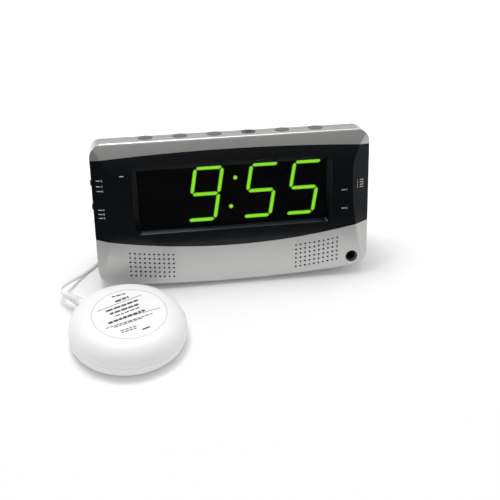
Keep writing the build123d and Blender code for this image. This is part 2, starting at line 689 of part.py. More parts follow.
def make_button(number):
    u = button_places()[number]
    base = BUTTON_EAR_TOP + BUTTON_EAR_THICK
    cap = rod_on(button_plane(u, base), BUTTON_RADIUS, base + BUTTON_PROUD)
    top_edge = cap.edges().sort_by(Axis((0, 0, 0), tuple(UP_FACE)))[-1]
    cap = fillet(top_edge, BUTTON_PROUD / 2)
    ears = 2 * (BUTTON_RADIUS + BUTTON_EAR)
    button = cap + box_on(button_plane(u, base), ears, BUTTON_EAR_WIDTH, BUTTON_EAR_THICK)
    button += rod_on(button_plane(u, BUTTON_STEM_FOOT), BUTTON_STEM_RADIUS, BUTTON_STEM_FOOT - base)
    if number == RAISED_MARK_BUTTON:
        mark = button_plane(u, -BUTTON_PROUD)
        button += box_on(mark, MARK_LENGTH, MARK_WIDTH, MARK_HEIGHT)
    return button


def make_switch(switch):
    """Switch body inside the end wall, and the knob that slides in it."""
    side, place = switch[:2]
    body = switch_block(switch, HALF - WALL - SWITCH_DEPTH, HALF - WALL, SWITCH_BORDER,
                        KNOB_WIDTH + 2 * SWITCH_BORDER)
    channel = switch_block(switch, HALF - WALL - KNOB_FOOT - PLAY, HALF, PLAY, KNOB_WIDTH + 2 * PLAY)
    inner, outer = HALF - WALL - KNOB_FOOT, HALF + KNOB_PROUD
    knob = on_face(side * (inner + outer) / 2, place, -SEAM) * Box(outer - inner, KNOB_LENGTH, KNOB_WIDTH)
    outer_face = knob.faces().sort_by(Axis.X)[-1 if side > 0 else 0]
    return body - channel, chamfer(outer_face.edges(), KNOB_PROUD / 4)


def make_speaker(side):
    """Speaker with its frame, magnet and cone, seated on the ring behind its grid."""
    seat = on_face(*speaker_place(side), -SPEAKER_SEAT)
    frame = rod_on(seat, SPEAKER_RADIUS, -SPEAKER_FLANGE)
    basket_depth = SPEAKER_DEPTH - SPEAKER_FLANGE
    basket_middle = seat.offset(-SPEAKER_FLANGE - basket_depth / 2)
    frame += basket_middle * Cone(MAGNET_RADIUS, SPEAKER_RADIUS - SPEAKER_RING, basket_depth)
    cone_rim = SPEAKER_RADIUS - 2 * SPEAKER_RING
    bowl_depth = SPEAKER_DEPTH / 2
    bowl = Cone(cone_rim / 3, cone_rim, bowl_depth)
    filled = seat.offset(-bowl_depth / 2) * bowl
    hollow = seat.offset(-bowl_depth / 2 + SPEAKER_RING / 2) * bowl
    dust_cap = rod_on(seat.offset(-bowl_depth), cone_rim / 3, bowl_depth / 2)
    return frame - filled, filled - hollow + dust_cap


def make_jacks():
    mouth = front_jack_plane()
    front = rod_on(mouth, FRONT_JACK_HOLE - FIT, -WALL)
    front += rod_on(mouth, FRONT_JACK_BODY, -JACK_BORE_DEPTH - WALL / 2)
    front -= rod_on(mouth, JACK_BORE, -JACK_BORE_DEPTH)
    shaker = rear_jack(rear_jack_plane(-1), JACK_NOSE)
    shaker -= rod_on(rear_jack_plane(-1), JACK_BORE, -JACK_BORE_DEPTH)
    inlet = rear_jack(rear_jack_plane(1), INLET_NOSE)
    inlet -= tube_on(rear_jack_plane(1), INLET_BORE, INLET_PIN, -JACK_BORE_DEPTH + WALL)
    return front, shaker, inlet


def rear_jack(plane, nose):
    """Jack with its nose in the rear wall and its body behind the wall."""
    body = box_on(plane.offset(-WALL - JACK_BODY_LENGTH), JACK_BODY_WIDTH, JACK_BODY_WIDTH, JACK_BODY_LENGTH)
    return body + rod_on(plane, nose, -WALL)


def make_feet(outer):
    places = [(side * FOOT_X, y) for side in (-1, 1) for y in (FOOT_FRONT, BASE_DEPTH - FOOT_INSET)]
    feet = [Pos(x, y, 0) * Cylinder(FOOT_RADIUS, FACE_TOP / 6, align=(Align.CENTER, Align.CENTER, Align.MIN))
            for x, y in places]
    return [foot - outer for foot in feet]


def case_screws():
    return [screw(on_face(u, v, -SEAM - CASE_SCREW_SEAT), CASE_SCREW_RADIUS - FIT / 2, CASE_SCREW_LENGTH)
            for u, v in case_post_places()]


SHAKER = Pos(SHAKER_X, SHAKER_Y, 0)


def shaker_section(inset, above):
    """Half section of the puck above or below its seam, with every wall moved in."""
    radius, height = SHAKER_RADIUS - inset, SHAKER_HEIGHT - inset
    if above:
        bend = SHAKER_SHOULDER - inset
        middle = (radius - bend, height - bend)
        arc = CenterArc(middle, bend, 0, 90)
        seam = [(0, SHAKER_SEAM), (radius, SHAKER_SEAM)]
        lines = Polyline(arc @ 1, (0, height), *seam, arc @ 0)
    else:
        bend = SHAKER_FOOT_ROUND - inset
        middle = (radius - bend, inset + bend)
        arc = CenterArc(middle, bend, 270, 90)
        lines = Polyline(arc @ 1, (radius, SHAKER_SEAM), (0, SHAKER_SEAM), (0, inset), arc @ 0)
    return make_face([*arc.edges(), *lines.edges()])


def puck_half(inset, above):
    return revolve(Plane.XZ * shaker_section(inset, above), Axis.Z)


def post_spots():
    return [Rot(0, 0, angle) * Pos(SHAKER_POST_PLACE, 0, 0) for angle in SHAKER_POST_ANGLES]


def upright(radius, low, high):
    return Pos(0, 0, low) * Cylinder(radius, high - low, align=(Align.CENTER, Align.CENTER, Align.MIN))


def seam_groove():
    """V groove round the puck at its seam."""
    tip = SHAKER_RADIUS - SEAM_CHAMFER
    wide = SHAKER_RADIUS + SEAM_CHAMFER
    high, low = SHAKER_SEAM + 2 * SEAM_CHAMFER, SHAKER_SEAM - 2 * SEAM_CHAMFER
    corners = [(tip, SHAKER_SEAM), (wide, high), (wide, low)]
    return revolve(Plane.XZ * make_face(Polyline(*corners, close=True).edges()), Axis.Z)


def relief_plane(reach):
    """Plane across the strain relief's axis at a distance from the puck's middle."""
    way = Vector(cos(radians(RELIEF_ANGLE)), sin(radians(RELIEF_ANGLE)), 0)
    return Plane(origin=way * reach + Vector(0, 0, SHAKER_SEAM), x_dir=(0, 0, 1), z_dir=way)


def make_shaker_shells():
    post_foot = SHAKER_SEAM - SHAKER_LIP_RISE
    head_seat = post_foot - SHAKER_WALL
    outside = puck_half(0, True)
    top = outside - puck_half(SHAKER_WALL, True)
    for spot in post_spots():
        top += spot * upright(SHAKER_POST_RADIUS, post_foot, SHAKER_HEIGHT) & (outside + puck_half(0, False))
        top -= spot * upright(SHAKER_SCREW_RADIUS, post_foot, post_foot + SHAKER_SCREW_LENGTH)
    label_spot = Pos(LABEL_SHIFT, 0, 0)
    label_foot = SHAKER_HEIGHT - LABEL_THICK - FIT / 2
    top -= label_spot * upright(LABEL_RADIUS + FIT, label_foot, SHAKER_HEIGHT)
    bottom = puck_half(0, False) - puck_half(SHAKER_WALL, False)
    lip = SHAKER_RADIUS - SHAKER_WALL - PLAY
    lip_foot, lip_top = SHAKER_FOOT_ROUND / 2, SHAKER_SEAM + SHAKER_LIP_RISE
    bottom += upright(lip, lip_foot, lip_top) - upright(lip - SHAKER_LIP, lip_foot, lip_top)
    for spot in post_spots():
        bottom += spot * upright(SHAKER_POST_RADIUS, SHAKER_WALL / 2, post_foot)
        bottom -= spot * upright(SHAKER_SCREW_RADIUS + FIT, 0, post_foot)
        bottom -= spot * upright(SCREW_HEAD_RADIUS + PLAY, 0, head_seat)
        bottom -= spot * upright(SHAKER_POST_RADIUS + FIT, post_foot, SHAKER_HEIGHT)
    bottom += motor_cradle()
    gland = rod_on(relief_plane(SHAKER_RADIUS / 2), RELIEF_BASE_RADIUS + FIT, SHAKER_RADIUS)
    flange_radius = RELIEF_BASE_RADIUS + RELIEF_FLANGE + FIT
    inside = rod_on(relief_plane(relief_root()), flange_radius, RELIEF_FLANGE + FIT)
    cuts = [gland, inside, seam_groove()]
    screws = [spot * screw(Plane.XY.offset(head_seat), SHAKER_SCREW_RADIUS - FIT / 2, SHAKER_SCREW_LENGTH)
              for spot in post_spots()]
    label = label_spot * upright(LABEL_RADIUS, label_foot, label_foot + LABEL_THICK)
    return top - cuts, bottom - cuts, label, screws


def relief_root():
    """Distance from the puck's middle to the inner end of the strain relief."""
    return SHAKER_RADIUS - SHAKER_WALL - SHAKER_LIP - RELIEF_FLANGE - 2 * FIT


def make_strain_relief():
    """Ribbed sleeve: an inner flange, a barrel through the wall, ribs that taper, a smooth neck."""
    ribs_start = SHAKER_RADIUS + RELIEF_COLLAR
    ribs_end = ribs_start + RELIEF_RIBS * RELIEF_RIB_PITCH
    relief = rod_on(relief_plane(relief_root()), RELIEF_BASE_RADIUS + RELIEF_FLANGE, RELIEF_FLANGE)
    relief += rod_on(relief_plane(relief_root()), RELIEF_BASE_RADIUS, ribs_start - relief_root())
    taper = (RELIEF_BASE_RADIUS - RELIEF_TIP_RADIUS) / (RELIEF_REACH - ribs_start)
    core_length = RELIEF_REACH - ribs_start
    core_radius = RELIEF_BASE_RADIUS - RELIEF_RIB_STEP
    middle = relief_plane(ribs_start + core_length / 2)
    relief += middle * Cone(core_radius, RELIEF_TIP_RADIUS - RELIEF_RIB_STEP / 2, core_length)
    for rib in range(RELIEF_RIBS):
        start = ribs_start + (rib + 0.5) * RELIEF_RIB_PITCH
        radius = RELIEF_BASE_RADIUS - taper * (start - ribs_start)
        relief += rod_on(relief_plane(start), radius, RELIEF_RIB_PITCH / 2)
    neck_radius = RELIEF_BASE_RADIUS - taper * (ribs_end - ribs_start)
    neck = relief_plane((ribs_end + RELIEF_REACH) / 2)
    return relief + neck * Cone(neck_radius, RELIEF_TIP_RADIUS, RELIEF_REACH - ribs_end)


def motor_plane(along):
    """Plane across the motor's axis, which runs along X through the puck's middle."""
    return Plane(origin=(along, 0, MOTOR_AXIS), x_dir=(0, 1, 0), z_dir=(1, 0, 0))


def cradle_spots():
    return (MOTOR_END - MOTOR_LENGTH + CRADLE_INSET, MOTOR_END - CRADLE_INSET)


def motor_cradle():
    """Two saddles under the motor and two posts for its clamp."""
    width = 2 * (MOTOR_RADIUS + CLAMP_EAR)
    saddles = Part()
    for spot in cradle_spots():
        block = Pos(spot, 0, (SHAKER_WALL + MOTOR_AXIS) / 2) * Box(CRADLE_THICK, 2 * MOTOR_RADIUS,
                                                                   MOTOR_AXIS - SHAKER_WALL)
        saddles += block
    for side in (-1, 1):
        saddles += Pos(clamp_middle(), side * clamp_screw_place(), 0) * upright(
            CLAMP_WIDTH / 2, SHAKER_WALL / 2, MOTOR_AXIS)
    saddles -= rod_on(motor_plane(-width), MOTOR_RADIUS, 2 * width)
    for side in (-1, 1):
        saddles -= Pos(clamp_middle(), side * clamp_screw_place(), 0) * upright(
            BOARD_SCREW_RADIUS, MOTOR_AXIS - BOARD_SCREW_LENGTH, MOTOR_AXIS)
    return saddles


def clamp_middle():
    return MOTOR_END - MOTOR_LENGTH / 2


def clamp_screw_place():
    return MOTOR_RADIUS + CLAMP_THICK + CLAMP_EAR / 2


def make_motor():
    motor = rod_on(motor_plane(MOTOR_END - MOTOR_LENGTH), MOTOR_RADIUS, MOTOR_LENGTH)
    motor = fillet(motor.edges(), MOTOR_BOSS_LENGTH)
    motor += rod_on(motor_plane(MOTOR_END), MOTOR_BOSS_RADIUS, MOTOR_BOSS_LENGTH)
    grip = motor_plane(MOTOR_END + MOTOR_BOSS_LENGTH)
    motor -= rod_on(grip, SHAFT_RADIUS + RUNNING_CLEARANCE, -SHAFT_GRIP)
    weight_start = MOTOR_END + MOTOR_BOSS_LENGTH + WEIGHT_GAP
    shaft_start = MOTOR_END + MOTOR_BOSS_LENGTH - SHAFT_GRIP + PLAY
    shaft = rod_on(motor_plane(shaft_start), SHAFT_RADIUS, weight_start + WEIGHT_LENGTH - shaft_start)
    weight_plane = motor_plane(weight_start)
    below = Pos(0, 0, MOTOR_AXIS - SHAKER_RADIUS) * Box(*[2 * SHAKER_RADIUS] * 3)
    weight = rod_on(weight_plane, WEIGHT_RADIUS, WEIGHT_LENGTH) & below
    weight += rod_on(weight_plane, WEIGHT_HUB, WEIGHT_LENGTH)
    weight -= rod_on(weight_plane, SHAFT_RADIUS + FIT / 5, WEIGHT_LENGTH)
    return motor, shaft, weight


def make_clamp():
    """Strap over the motor with two ears, and its two screws."""
    start = clamp_middle() - CLAMP_WIDTH / 2
    strap = tube_on(motor_plane(start), MOTOR_RADIUS + CLAMP_THICK, MOTOR_RADIUS, CLAMP_WIDTH)
    upper = Pos(clamp_middle(), 0, MOTOR_AXIS + SHAKER_RADIUS / 2) * Box(
        2 * CLAMP_WIDTH, SHAKER_RADIUS, SHAKER_RADIUS)
    strap &= upper
    screws = []
    for side in (-1, 1):
        ear = Pos(clamp_middle(), side * (MOTOR_RADIUS + (CLAMP_THICK + CLAMP_EAR) / 2 + CLAMP_THICK / 2),
                  MOTOR_AXIS + CLAMP_THICK / 2) * Box(CLAMP_WIDTH, CLAMP_EAR + CLAMP_THICK, CLAMP_THICK)
        strap += ear
        spot = Pos(clamp_middle(), side * clamp_screw_place(), 0)
        strap -= spot * upright(BOARD_SCREW_RADIUS + FIT, MOTOR_AXIS, MOTOR_AXIS + 2 * CLAMP_THICK)
        seat = Plane(origin=(0, 0, MOTOR_AXIS + CLAMP_THICK), x_dir=(1, 0, 0), z_dir=(0, 0, -1))
        screws.append(spot * screw(seat, BOARD_SCREW_RADIUS - FIT / 2, BOARD_SCREW_LENGTH))
    return strap, screws


def turn_between(before, corner, after):
    return radians((corner - before).get_angle(after - corner))


def cord_path(name, points):
    """Straight runs joined by arcs as large as the runs allow."""
    points = [Vector(*point) for point in points]
    radii = []
    for before, corner, after in zip(points, points[1:], points[2:]):
        shorter = min((corner - before).length, (after - corner).length)
        radii.append(BEND_SHARE * shorter / tan(turn_between(before, corner, after) / 2))
    print(name, "bend radii", [round(radius, 1) for radius in radii])
    return FilletPolyline(*points, radius=radii)


def cord_tube(name, path):
    section = Plane(origin=path @ 0, z_dir=path % 0) * Circle(CORD_RADIUS)
    tube = sweep(section, path=path)
    ideal = pi * CORD_RADIUS**2 * path.length
    print(name, "length", round(path.length, 1), "volume share", round(tube.volume / ideal, 4))
    return tube


COIL_OUTER = COIL_INNER + COIL_LAYER_TURNS * COIL_PITCH
COIL_FLOOR = COIL_LIFT + CORD_RADIUS
COIL_STRAIGHT = 2 * CORD_RADIUS
COIL_STAGE = COIL_LAYER_TURNS + 0.5
COIL_TURNS = COIL_LAYERS * COIL_STAGE - 0.5


def coil_state(turns):
    """Radius and height after a number of turns: layers spiral in and out, half turns climb."""
    layer = min(int(turns / COIL_STAGE), COIL_LAYERS - 1)
    within = turns - layer * COIL_STAGE
    wound = min(within, COIL_LAYER_TURNS)
    climbed = max(within - COIL_LAYER_TURNS, 0) / 0.5
    inwards = layer % 2 == 0
    radius = COIL_OUTER - wound * COIL_PITCH if inwards else COIL_INNER + wound * COIL_PITCH
    rise = layer + climbed**2 * (3 - 2 * climbed)
    return radius, COIL_FLOOR + rise * COIL_RISE


def coil_point(turns):
    radius, height = coil_state(turns)
    angle = 2 * pi * turns - pi / 2
    return Vector(COIL_X + radius * cos(angle), COIL_Y + radius * sin(angle), height)


def coil_heading(turns):
    step = 0.01
    before, after = max(turns - step, 0), min(turns + step, COIL_TURNS)
    return (coil_point(after) - coil_point(before)).normalized()


def biarc(start, start_way, end, end_way):
    """Two tangent arcs that leave and arrive along given directions."""
    chord = end - start
    both = start_way + end_way
    bend = 2 * (1 - start_way.dot(end_way))
    along = chord.dot(both)
    reach = (sqrt(along**2 + bend * chord.dot(chord)) - along) / bend
    first, last = start + start_way * reach, end - end_way * reach
    joint = (first + last) * 0.5
    joint_way = (last - first).normalized()
    return [TangentArc(start, joint, tangent=start_way), TangentArc(joint, end, tangent=joint_way)]


def coil_path():
    quarters = ceil(COIL_TURNS * 4)
    marks = [COIL_TURNS * number / quarters for number in range(quarters + 1)]
    ways = [coil_heading(mark) for mark in marks]
    ways[0], ways[-1] = Vector(1, 0, 0), Vector(-1, 0, 0)
    start = coil_point(0) - ways[0] * COIL_STRAIGHT
    end = coil_point(COIL_TURNS) + ways[-1] * COIL_STRAIGHT
    pieces = [Line(start, coil_point(0))]
    points = [coil_point(mark) for mark in marks]
    for before, after in zip(range(quarters), range(1, quarters + 1)):
        pieces += biarc(points[before], ways[before], points[after], ways[after])
    pieces.append(Line(coil_point(COIL_TURNS), end))
    return Wire([edge for piece in pieces for edge in piece.edges()]), start, end


def coil_gap():
    """Least distance between the coil's turns, less the cord's diameter."""
    samples = 48
    points = [coil_point(number / samples) for number in range(int(COIL_TURNS * samples) + 1)]
    apart = samples // 3
    least = min((a - b).length for place, a in enumerate(points) for b in points[place + apart:])
    return least - 2 * CORD_RADIUS


def make_tie():
    """Strap round the bundle of turns, on the coil's right."""
    low, high = COIL_INNER - CORD_RADIUS - TIE_PLAY, COIL_OUTER + CORD_RADIUS + TIE_PLAY / 2
    bottom = COIL_LIFT - TIE_PLAY / 4
    top = COIL_FLOOR + (COIL_LAYERS - 1) * COIL_RISE + CORD_RADIUS + TIE_PLAY / 2
    middle = Pos(COIL_X + (low + high) / 2, COIL_Y, (bottom + top) / 2)
    strap = middle * Box(high - low + 2 * TIE_THICK, TIE_WIDTH, top - bottom + 2 * TIE_THICK)
    strap = fillet(strap.edges().filter_by(Axis.Y), 2 * TIE_THICK)
    return strap - middle * Box(high - low, TIE_WIDTH, top - bottom)


def make_plug():
    """Plug in the shaker's jack: pin, barrel, tapered neck."""
    plane = rear_jack_plane(-1)
    plug = rod_on(plane, PLUG_BARREL_RADIUS, PLUG_BARREL)
    neck_middle = plane.offset(PLUG_BARREL + PLUG_NECK / 2)
    plug += neck_middle * Cone(PLUG_SHOULDER_RADIUS, PLUG_NECK_RADIUS, PLUG_NECK)
    plug += rod_on(plane, PLUG_PIN_RADIUS, PLUG_PIN_RADIUS - JACK_BORE_DEPTH)
    end = plane.offset(PLUG_BARREL + PLUG_NECK).origin
    return plug, end


def make_cord(plug_end):
    relief_tip = relief_plane(RELIEF_REACH)
    tip = relief_tip.origin + Vector(SHAKER_X, SHAKER_Y, 0)
    leave = tip + relief_tip.z_dir * RELIEF_LEAD
    coil_wire, coil_start, coil_end = coil_path()
    arrive = coil_start - Vector(COIL_LEAD, 0, 0)
    free = cord_path("shaker_cord", [tip, leave, *CORD_BEND, *CORD_REST, arrive, coil_start])
    before_plug = plug_end + BACK.z_dir * PLUG_LEAD
    leave_coil = coil_end - Vector(COIL_LEAD, 0, 0)
    tail = cord_path("cord_tail", [coil_end, leave_coil, *TAIL_REST, before_plug, plug_end])
    total = free.length + coil_wire.length + tail.length
    print("coil gap", round(coil_gap(), 2), "cord length", round(total))
    return cord_tube("shaker_cord", free), cord_tube("cord_coil", coil_wire), cord_tube("cord_tail", tail)


def write(name, shape):
    """Write one piece, or a group of like pieces, shifted to the part's origin."""
    solids = shape if isinstance(shape, list) else [shape]
    moved = [Pos(-ORIGIN) * solid for solid in solids]
    export_step(moved[0] if len(moved) == 1 else Compound(children=moved), f"parts/{name}.step")


def main():
    os.makedirs("parts", exist_ok=True)
    outer = case_form()
    inner = case_form(WALL)
    bezel, visor = make_front(outer, inner, case_form(VISOR_THICK))
    write("front_bezel", bezel)
    write("front_visor", visor)
    tongue_outer = case_form(WALL + FIT)
    tongue_inner = case_form(WALL + FIT + TONGUE_THICK)
    write("rear_case", make_rear_case(outer, inner, tongue_outer, tongue_inner, case_form(SEAM_GROOVE)))
    lit, unlit = make_segments()
    module, lens = make_display(lit, unlit)
    write("display_module", module)
    write("display_lens", lens)
    write("lit_segments", lit)
    write("unlit_segments", unlit)
    for name, shape in zip(("main_board", "board_screws", "button_board", "tact_switches"), make_boards()):
        write(name, shape)
    for number, name in enumerate(BUTTON_NAMES):
        write(name, make_button(number))
    bodies = []
    for name, switch in SWITCHES.items():
        body, knob = make_switch(switch)
        write(name, knob)
        bodies.append(body)
    write("slide_switches", bodies)
    for side, name in ((-1, "left"), (1, "right")):
        frame, cone = make_speaker(side)
        write(f"{name}_speaker", frame)
        write(f"{name}_speaker_cone", cone)
    for name, shape in zip(("front_jack", "shaker_jack", "power_inlet"), make_jacks()):
        write(name, shape)
    battery, snap = make_battery()
    write("battery_door", make_battery_door())
    write("backup_battery", battery)
    write("battery_snap", snap)
    write("case_screws", case_screws())
    write("rubber_feet", make_feet(outer))

    names = ("shaker_top_shell", "shaker_bottom_shell", "shaker_label", "shaker_screws")
    pieces = dict(zip(names, make_shaker_shells()))
    pieces.update(zip(("shaker_motor", "motor_shaft", "eccentric_weight"), make_motor()))
    pieces.update(zip(("motor_clamp", "clamp_screws"), make_clamp()))
    pieces["strain_relief"] = make_strain_relief()
    for name, shape in pieces.items():
        write(name, [SHAKER * solid for solid in shape] if isinstance(shape, list) else SHAKER * shape)

    plug, plug_end = make_plug()
    write("shaker_plug", plug)
    for name, shape in zip(("shaker_cord", "cord_coil", "cord_tail"), make_cord(plug_end)):
        write(name, shape)
    write("cord_tie", make_tie())


main()
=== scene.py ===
import json
from math import cos, pi, radians, sin, sqrt

import bmesh
import bpy
from mathutils import Matrix, Vector


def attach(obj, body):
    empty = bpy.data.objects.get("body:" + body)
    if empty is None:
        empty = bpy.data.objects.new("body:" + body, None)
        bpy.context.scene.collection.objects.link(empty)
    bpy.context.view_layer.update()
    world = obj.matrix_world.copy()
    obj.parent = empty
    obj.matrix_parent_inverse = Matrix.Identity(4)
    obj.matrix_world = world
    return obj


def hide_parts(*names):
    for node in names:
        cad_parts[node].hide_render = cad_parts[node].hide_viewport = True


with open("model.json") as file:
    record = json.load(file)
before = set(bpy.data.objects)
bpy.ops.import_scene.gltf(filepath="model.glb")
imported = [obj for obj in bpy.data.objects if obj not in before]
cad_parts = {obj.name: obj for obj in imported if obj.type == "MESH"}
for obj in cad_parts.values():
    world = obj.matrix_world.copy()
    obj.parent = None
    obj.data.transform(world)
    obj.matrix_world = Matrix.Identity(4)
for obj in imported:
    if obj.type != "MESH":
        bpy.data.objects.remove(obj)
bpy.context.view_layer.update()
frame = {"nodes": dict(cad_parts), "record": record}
NODES = frame["nodes"]
ROOT = "clock_and_shaker"

# The clock's own frame, in millimetres: X to the right, Y to the back from where the line of the
# leaning front meets the table, Z up. SHIFT moves it to the part's origin.
PER_METRE = 1000.0
SHIFT = Vector((12.1, 17.8, 0.0))
LEAN = radians(15.0)
ACROSS_FACE = Vector((1.0, 0.0, 0.0))
UP_FACE = Vector((0.0, sin(LEAN), cos(LEAN)))
OUT_OF_FACE = Vector((0.0, -cos(LEAN), sin(LEAN)))

# The front is crowned: one arc rises from its foot and one from its top, and they meet CROWN over
# the face's plane at CROWN_HEIGHT. A flat facet closes it at each end.
HALF_WIDTH = 109.0
UNDERSIDE = 3.0
FACE_FOOT = UNDERSIDE / cos(LEAN)
FACE_TOP = 123.0
CROWN = 4.4
CROWN_HEIGHT = 88.0
LOWER_SPAN = CROWN_HEIGHT - FACE_FOOT
UPPER_SPAN = FACE_TOP - CROWN_HEIGHT
FACET_WIDTH = 14.0


def place(x, y, z):
    """Point of the clock's frame as metres in the part's frame."""
    return (Vector((x, y, z)) + SHIFT) / PER_METRE


def on_plane(u, v, w):
    """Point over the leaning plane of the face."""
    return place(u, 0, 0) + (UP_FACE * v + OUT_OF_FACE * w) / PER_METRE


def crown_radius(span):
    """Radius of the crown's arc that falls to the face's plane over a span."""
    return (span**2 + CROWN**2) / (2 * CROWN)


def face_depth(v):
    """Height of the crowned front over the face's plane."""
    radius = crown_radius(LOWER_SPAN if v < CROWN_HEIGHT else UPPER_SPAN)
    return CROWN - radius + sqrt(radius**2 - (v - CROWN_HEIGHT) ** 2)


def on_front(u, v, lift):
    """Point over the crowned front or the facets at its ends."""
    facet = (HALF_WIDTH - abs(u)) * CROWN / FACET_WIDTH
    return on_plane(u, v, min(face_depth(v), facet) + lift)


def add_object(name, data):
    """Object of the scene for a mesh, a curve, a lamp or a camera."""
    made = bpy.data.objects.new(name, data)
    bpy.context.scene.collection.objects.link(made)
    return made


def add_piece(name, data, finish):
    """Piece that rides on the clock, with its finish."""
    piece = add_object(name, data)
    data.materials.append(finish.material)
    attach(piece, ROOT)
    return piece


def add_shape(name, shape, finish):
    """Piece for a shape that is complete."""
    mesh = bpy.data.meshes.new(name)
    shape.to_mesh(mesh)
    shape.free()
    return add_piece(name, mesh, finish)


def add_wall(shape, low, high):
    """Faces between two closed rings with the same number of points."""
    for number in range(len(low)):
        after = (number + 1) % len(low)
        shape.faces.new((low[number], low[after], high[after], high[number]))


def circle(radius, sides, middle=(0.0, 0.0)):
    """Points round a circle."""
    turns = [2 * pi * number / sides for number in range(sides)]
    return [(middle[0] + radius * cos(turn), middle[1] + radius * sin(turn)) for turn in turns]


# Camera, solved from the photo's edges: turns in radians, focus and image size in pixels
CAMERA_PLACE = (-96.87, -592.64, 480.15)
CAMERA_YAW = 0.1799
CAMERA_PITCH = 0.6388
CAMERA_ROLL = -0.0292
CAMERA_FOCUS = 944.2
IMAGE_SIZE = 500.0
SENSOR = 36.0


def make_camera():
    """Camera where the photo was taken from."""
    ahead = Vector((sin(CAMERA_YAW), cos(CAMERA_YAW), 0.0))
    across = Vector((cos(CAMERA_YAW), -sin(CAMERA_YAW), 0.0))
    forward = ahead * cos(CAMERA_PITCH) - Vector((0, 0, sin(CAMERA_PITCH)))
    below = -ahead * sin(CAMERA_PITCH) - Vector((0, 0, cos(CAMERA_PITCH)))
    right = across * cos(CAMERA_ROLL) + below * sin(CAMERA_ROLL)
    down = below * cos(CAMERA_ROLL) - across * sin(CAMERA_ROLL)
    data = bpy.data.cameras.new("camera")
    data.sensor_width = SENSOR
    data.lens = SENSOR * CAMERA_FOCUS / IMAGE_SIZE
    camera = add_object("camera", data)
    turn = Matrix((right, -down, -forward)).transposed().to_4x4()
    camera.matrix_world = Matrix.Translation(place(*CAMERA_PLACE)) @ turn
    bpy.context.scene.camera = camera


# Cord from the shaker to the plug in the clock's back: the free stretch, the put-away coil and the
# tail. Its length is in metres.
CORD_RADIUS = 1.4
CORD_ROUNDNESS = 5
CORD_SMOOTHNESS = 4
CORD_ORDER = 3
CORD_TIP = (-137.14, -7.09, 10.5)
CORD_FREE = (
    (-138.68, -5.52, 10.5), (-139.5, -3.3, 10.45), (-139.3, -0.5, 10.2), (-137.6, 2.7, 9.5),
    (-134.9, 7.5, 8.0), (-129.7, 15.2, 5.4), (-124.1, 22.3, 3.0), (-118.8, 29.5, 1.75),
    (-111.2, 37.6, 1.5), (-105.6, 46.6, 1.5), (-100.3, 55.8, 1.5), (-94.5, 64.7, 1.5),
    (-86.0, 71.8, 1.5), (-75.2, 75.8, 1.5), (-63.0, 77.2, 1.6), (-50.4, 76.6, 1.9),
    (-33.2, 75.5, 2.35), (-24.8, 75.5, 2.35),
)
CORD_TAIL = (
    (-24.8, 120.5, 12.7), (-33.2, 120.5, 12.7), (-42.6, 118.6, 11.8), (-51.4, 113.8, 11.4),
    (-57.8, 106.6, 13.2), (-62.0, 94.34, 18.74), (-62.0, 87.39, 17.9),
)
COIL_X = -22.0
COIL_Y = 98.0
COIL_INNER = 11.1
COIL_LAYERS = 4
COIL_LAYER_TURNS = 3
COIL_CLIMB_TURNS = 0.5
COIL_PITCH = 3.8
COIL_OUTER = COIL_INNER + COIL_LAYER_TURNS * COIL_PITCH
COIL_RISE = 3.45
COIL_FLOOR = 2.35
COIL_STAGE = COIL_LAYER_TURNS + COIL_CLIMB_TURNS
COIL_TURNS = COIL_LAYERS * COIL_STAGE - COIL_CLIMB_TURNS
COIL_STEPS = 24


def ease(share):
    """Smooth step from 0 to 1."""
    return share**2 * (3 - 2 * share)


def coil_point(turns):
    """Control point of the coil: layers spiral in and out, half turns climb."""
    layer = min(int(turns / COIL_STAGE), COIL_LAYERS - 1)
    within = turns - layer * COIL_STAGE
    wound = min(within, COIL_LAYER_TURNS) * COIL_PITCH
    climbed = max(within - COIL_LAYER_TURNS, 0) / COIL_CLIMB_TURNS
    radius = COIL_OUTER - wound if layer % 2 == 0 else COIL_INNER + wound
    height = COIL_FLOOR + COIL_RISE * (layer + ease(climbed))
    angle = 2 * pi * turns - pi / 2
    # The curve runs inside its control points, so they stand a little wider than it.
    wider = 1 / cos(pi / COIL_STEPS)
    return (COIL_X + wider * radius * cos(angle), COIL_Y + wider * radius * sin(angle), height)


def make_cord(finish):
    """The whole cord as one smooth curve, in place of its three solids."""
    route = [CORD_TIP, *CORD_FREE]
    route += [coil_point(step / COIL_STEPS) for step in range(int(COIL_TURNS * COIL_STEPS) + 1)]
    route += CORD_TAIL
    curve = bpy.data.curves.new("cord", "CURVE")
    curve.dimensions = "3D"
    curve.bevel_depth = CORD_RADIUS / PER_METRE
    curve.bevel_resolution = CORD_ROUNDNESS
    curve.resolution_u = CORD_SMOOTHNESS
    curve.use_fill_caps = True
    spline = curve.splines.new("NURBS")
    spline.points.add(len(route) - 1)
    for point, spot in zip(spline.points, route):
        point.co = (*place(*spot), 1.0)
    spline.order_u = CORD_ORDER
    spline.use_endpoint_u = True
    cord = add_piece("cord", curve, finish)
    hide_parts("shaker_cord", "cord_coil", "cord_tail")


# Materials, with lengths in millimetres. The spans across and up the face say where walls that go
# down from the crowned front look different: the holes of the two speaker grilles are unpainted
# plastic, darkened near-black as painted shade, and the slopes of the window have less shine.
NOISE_RANGE = (0.3, 0.7)
TONE_PATCH = 18.0
GLOSS_PATCH = 6.0
MOULD_GLOSS_SHARE = 0.12
METAL_GLOSS_SHARE = 0.2
DULL = 0.05
SILVER = (0.56, 0.558, 0.55)
# Near-black for the grille holes' walls: unpainted plastic, darkened as painted shade.
HOLE_SHADE_BLACK = (0.008, 0.008, 0.008, 1.0)
PAINT_METAL = 0.8
SLOPE_METAL = 0.95
SUNK_EDGE = (0.1, 0.3)
SUNK_DEPTH = (0.1, 4.0)
GRILLE_ACROSS = (47.0, 88.0)
GRILLE_UP = (7.7, 34.0)
WINDOW_ACROSS = (-1.0, 78.3)
WINDOW_UP = (48.5, 105.3)


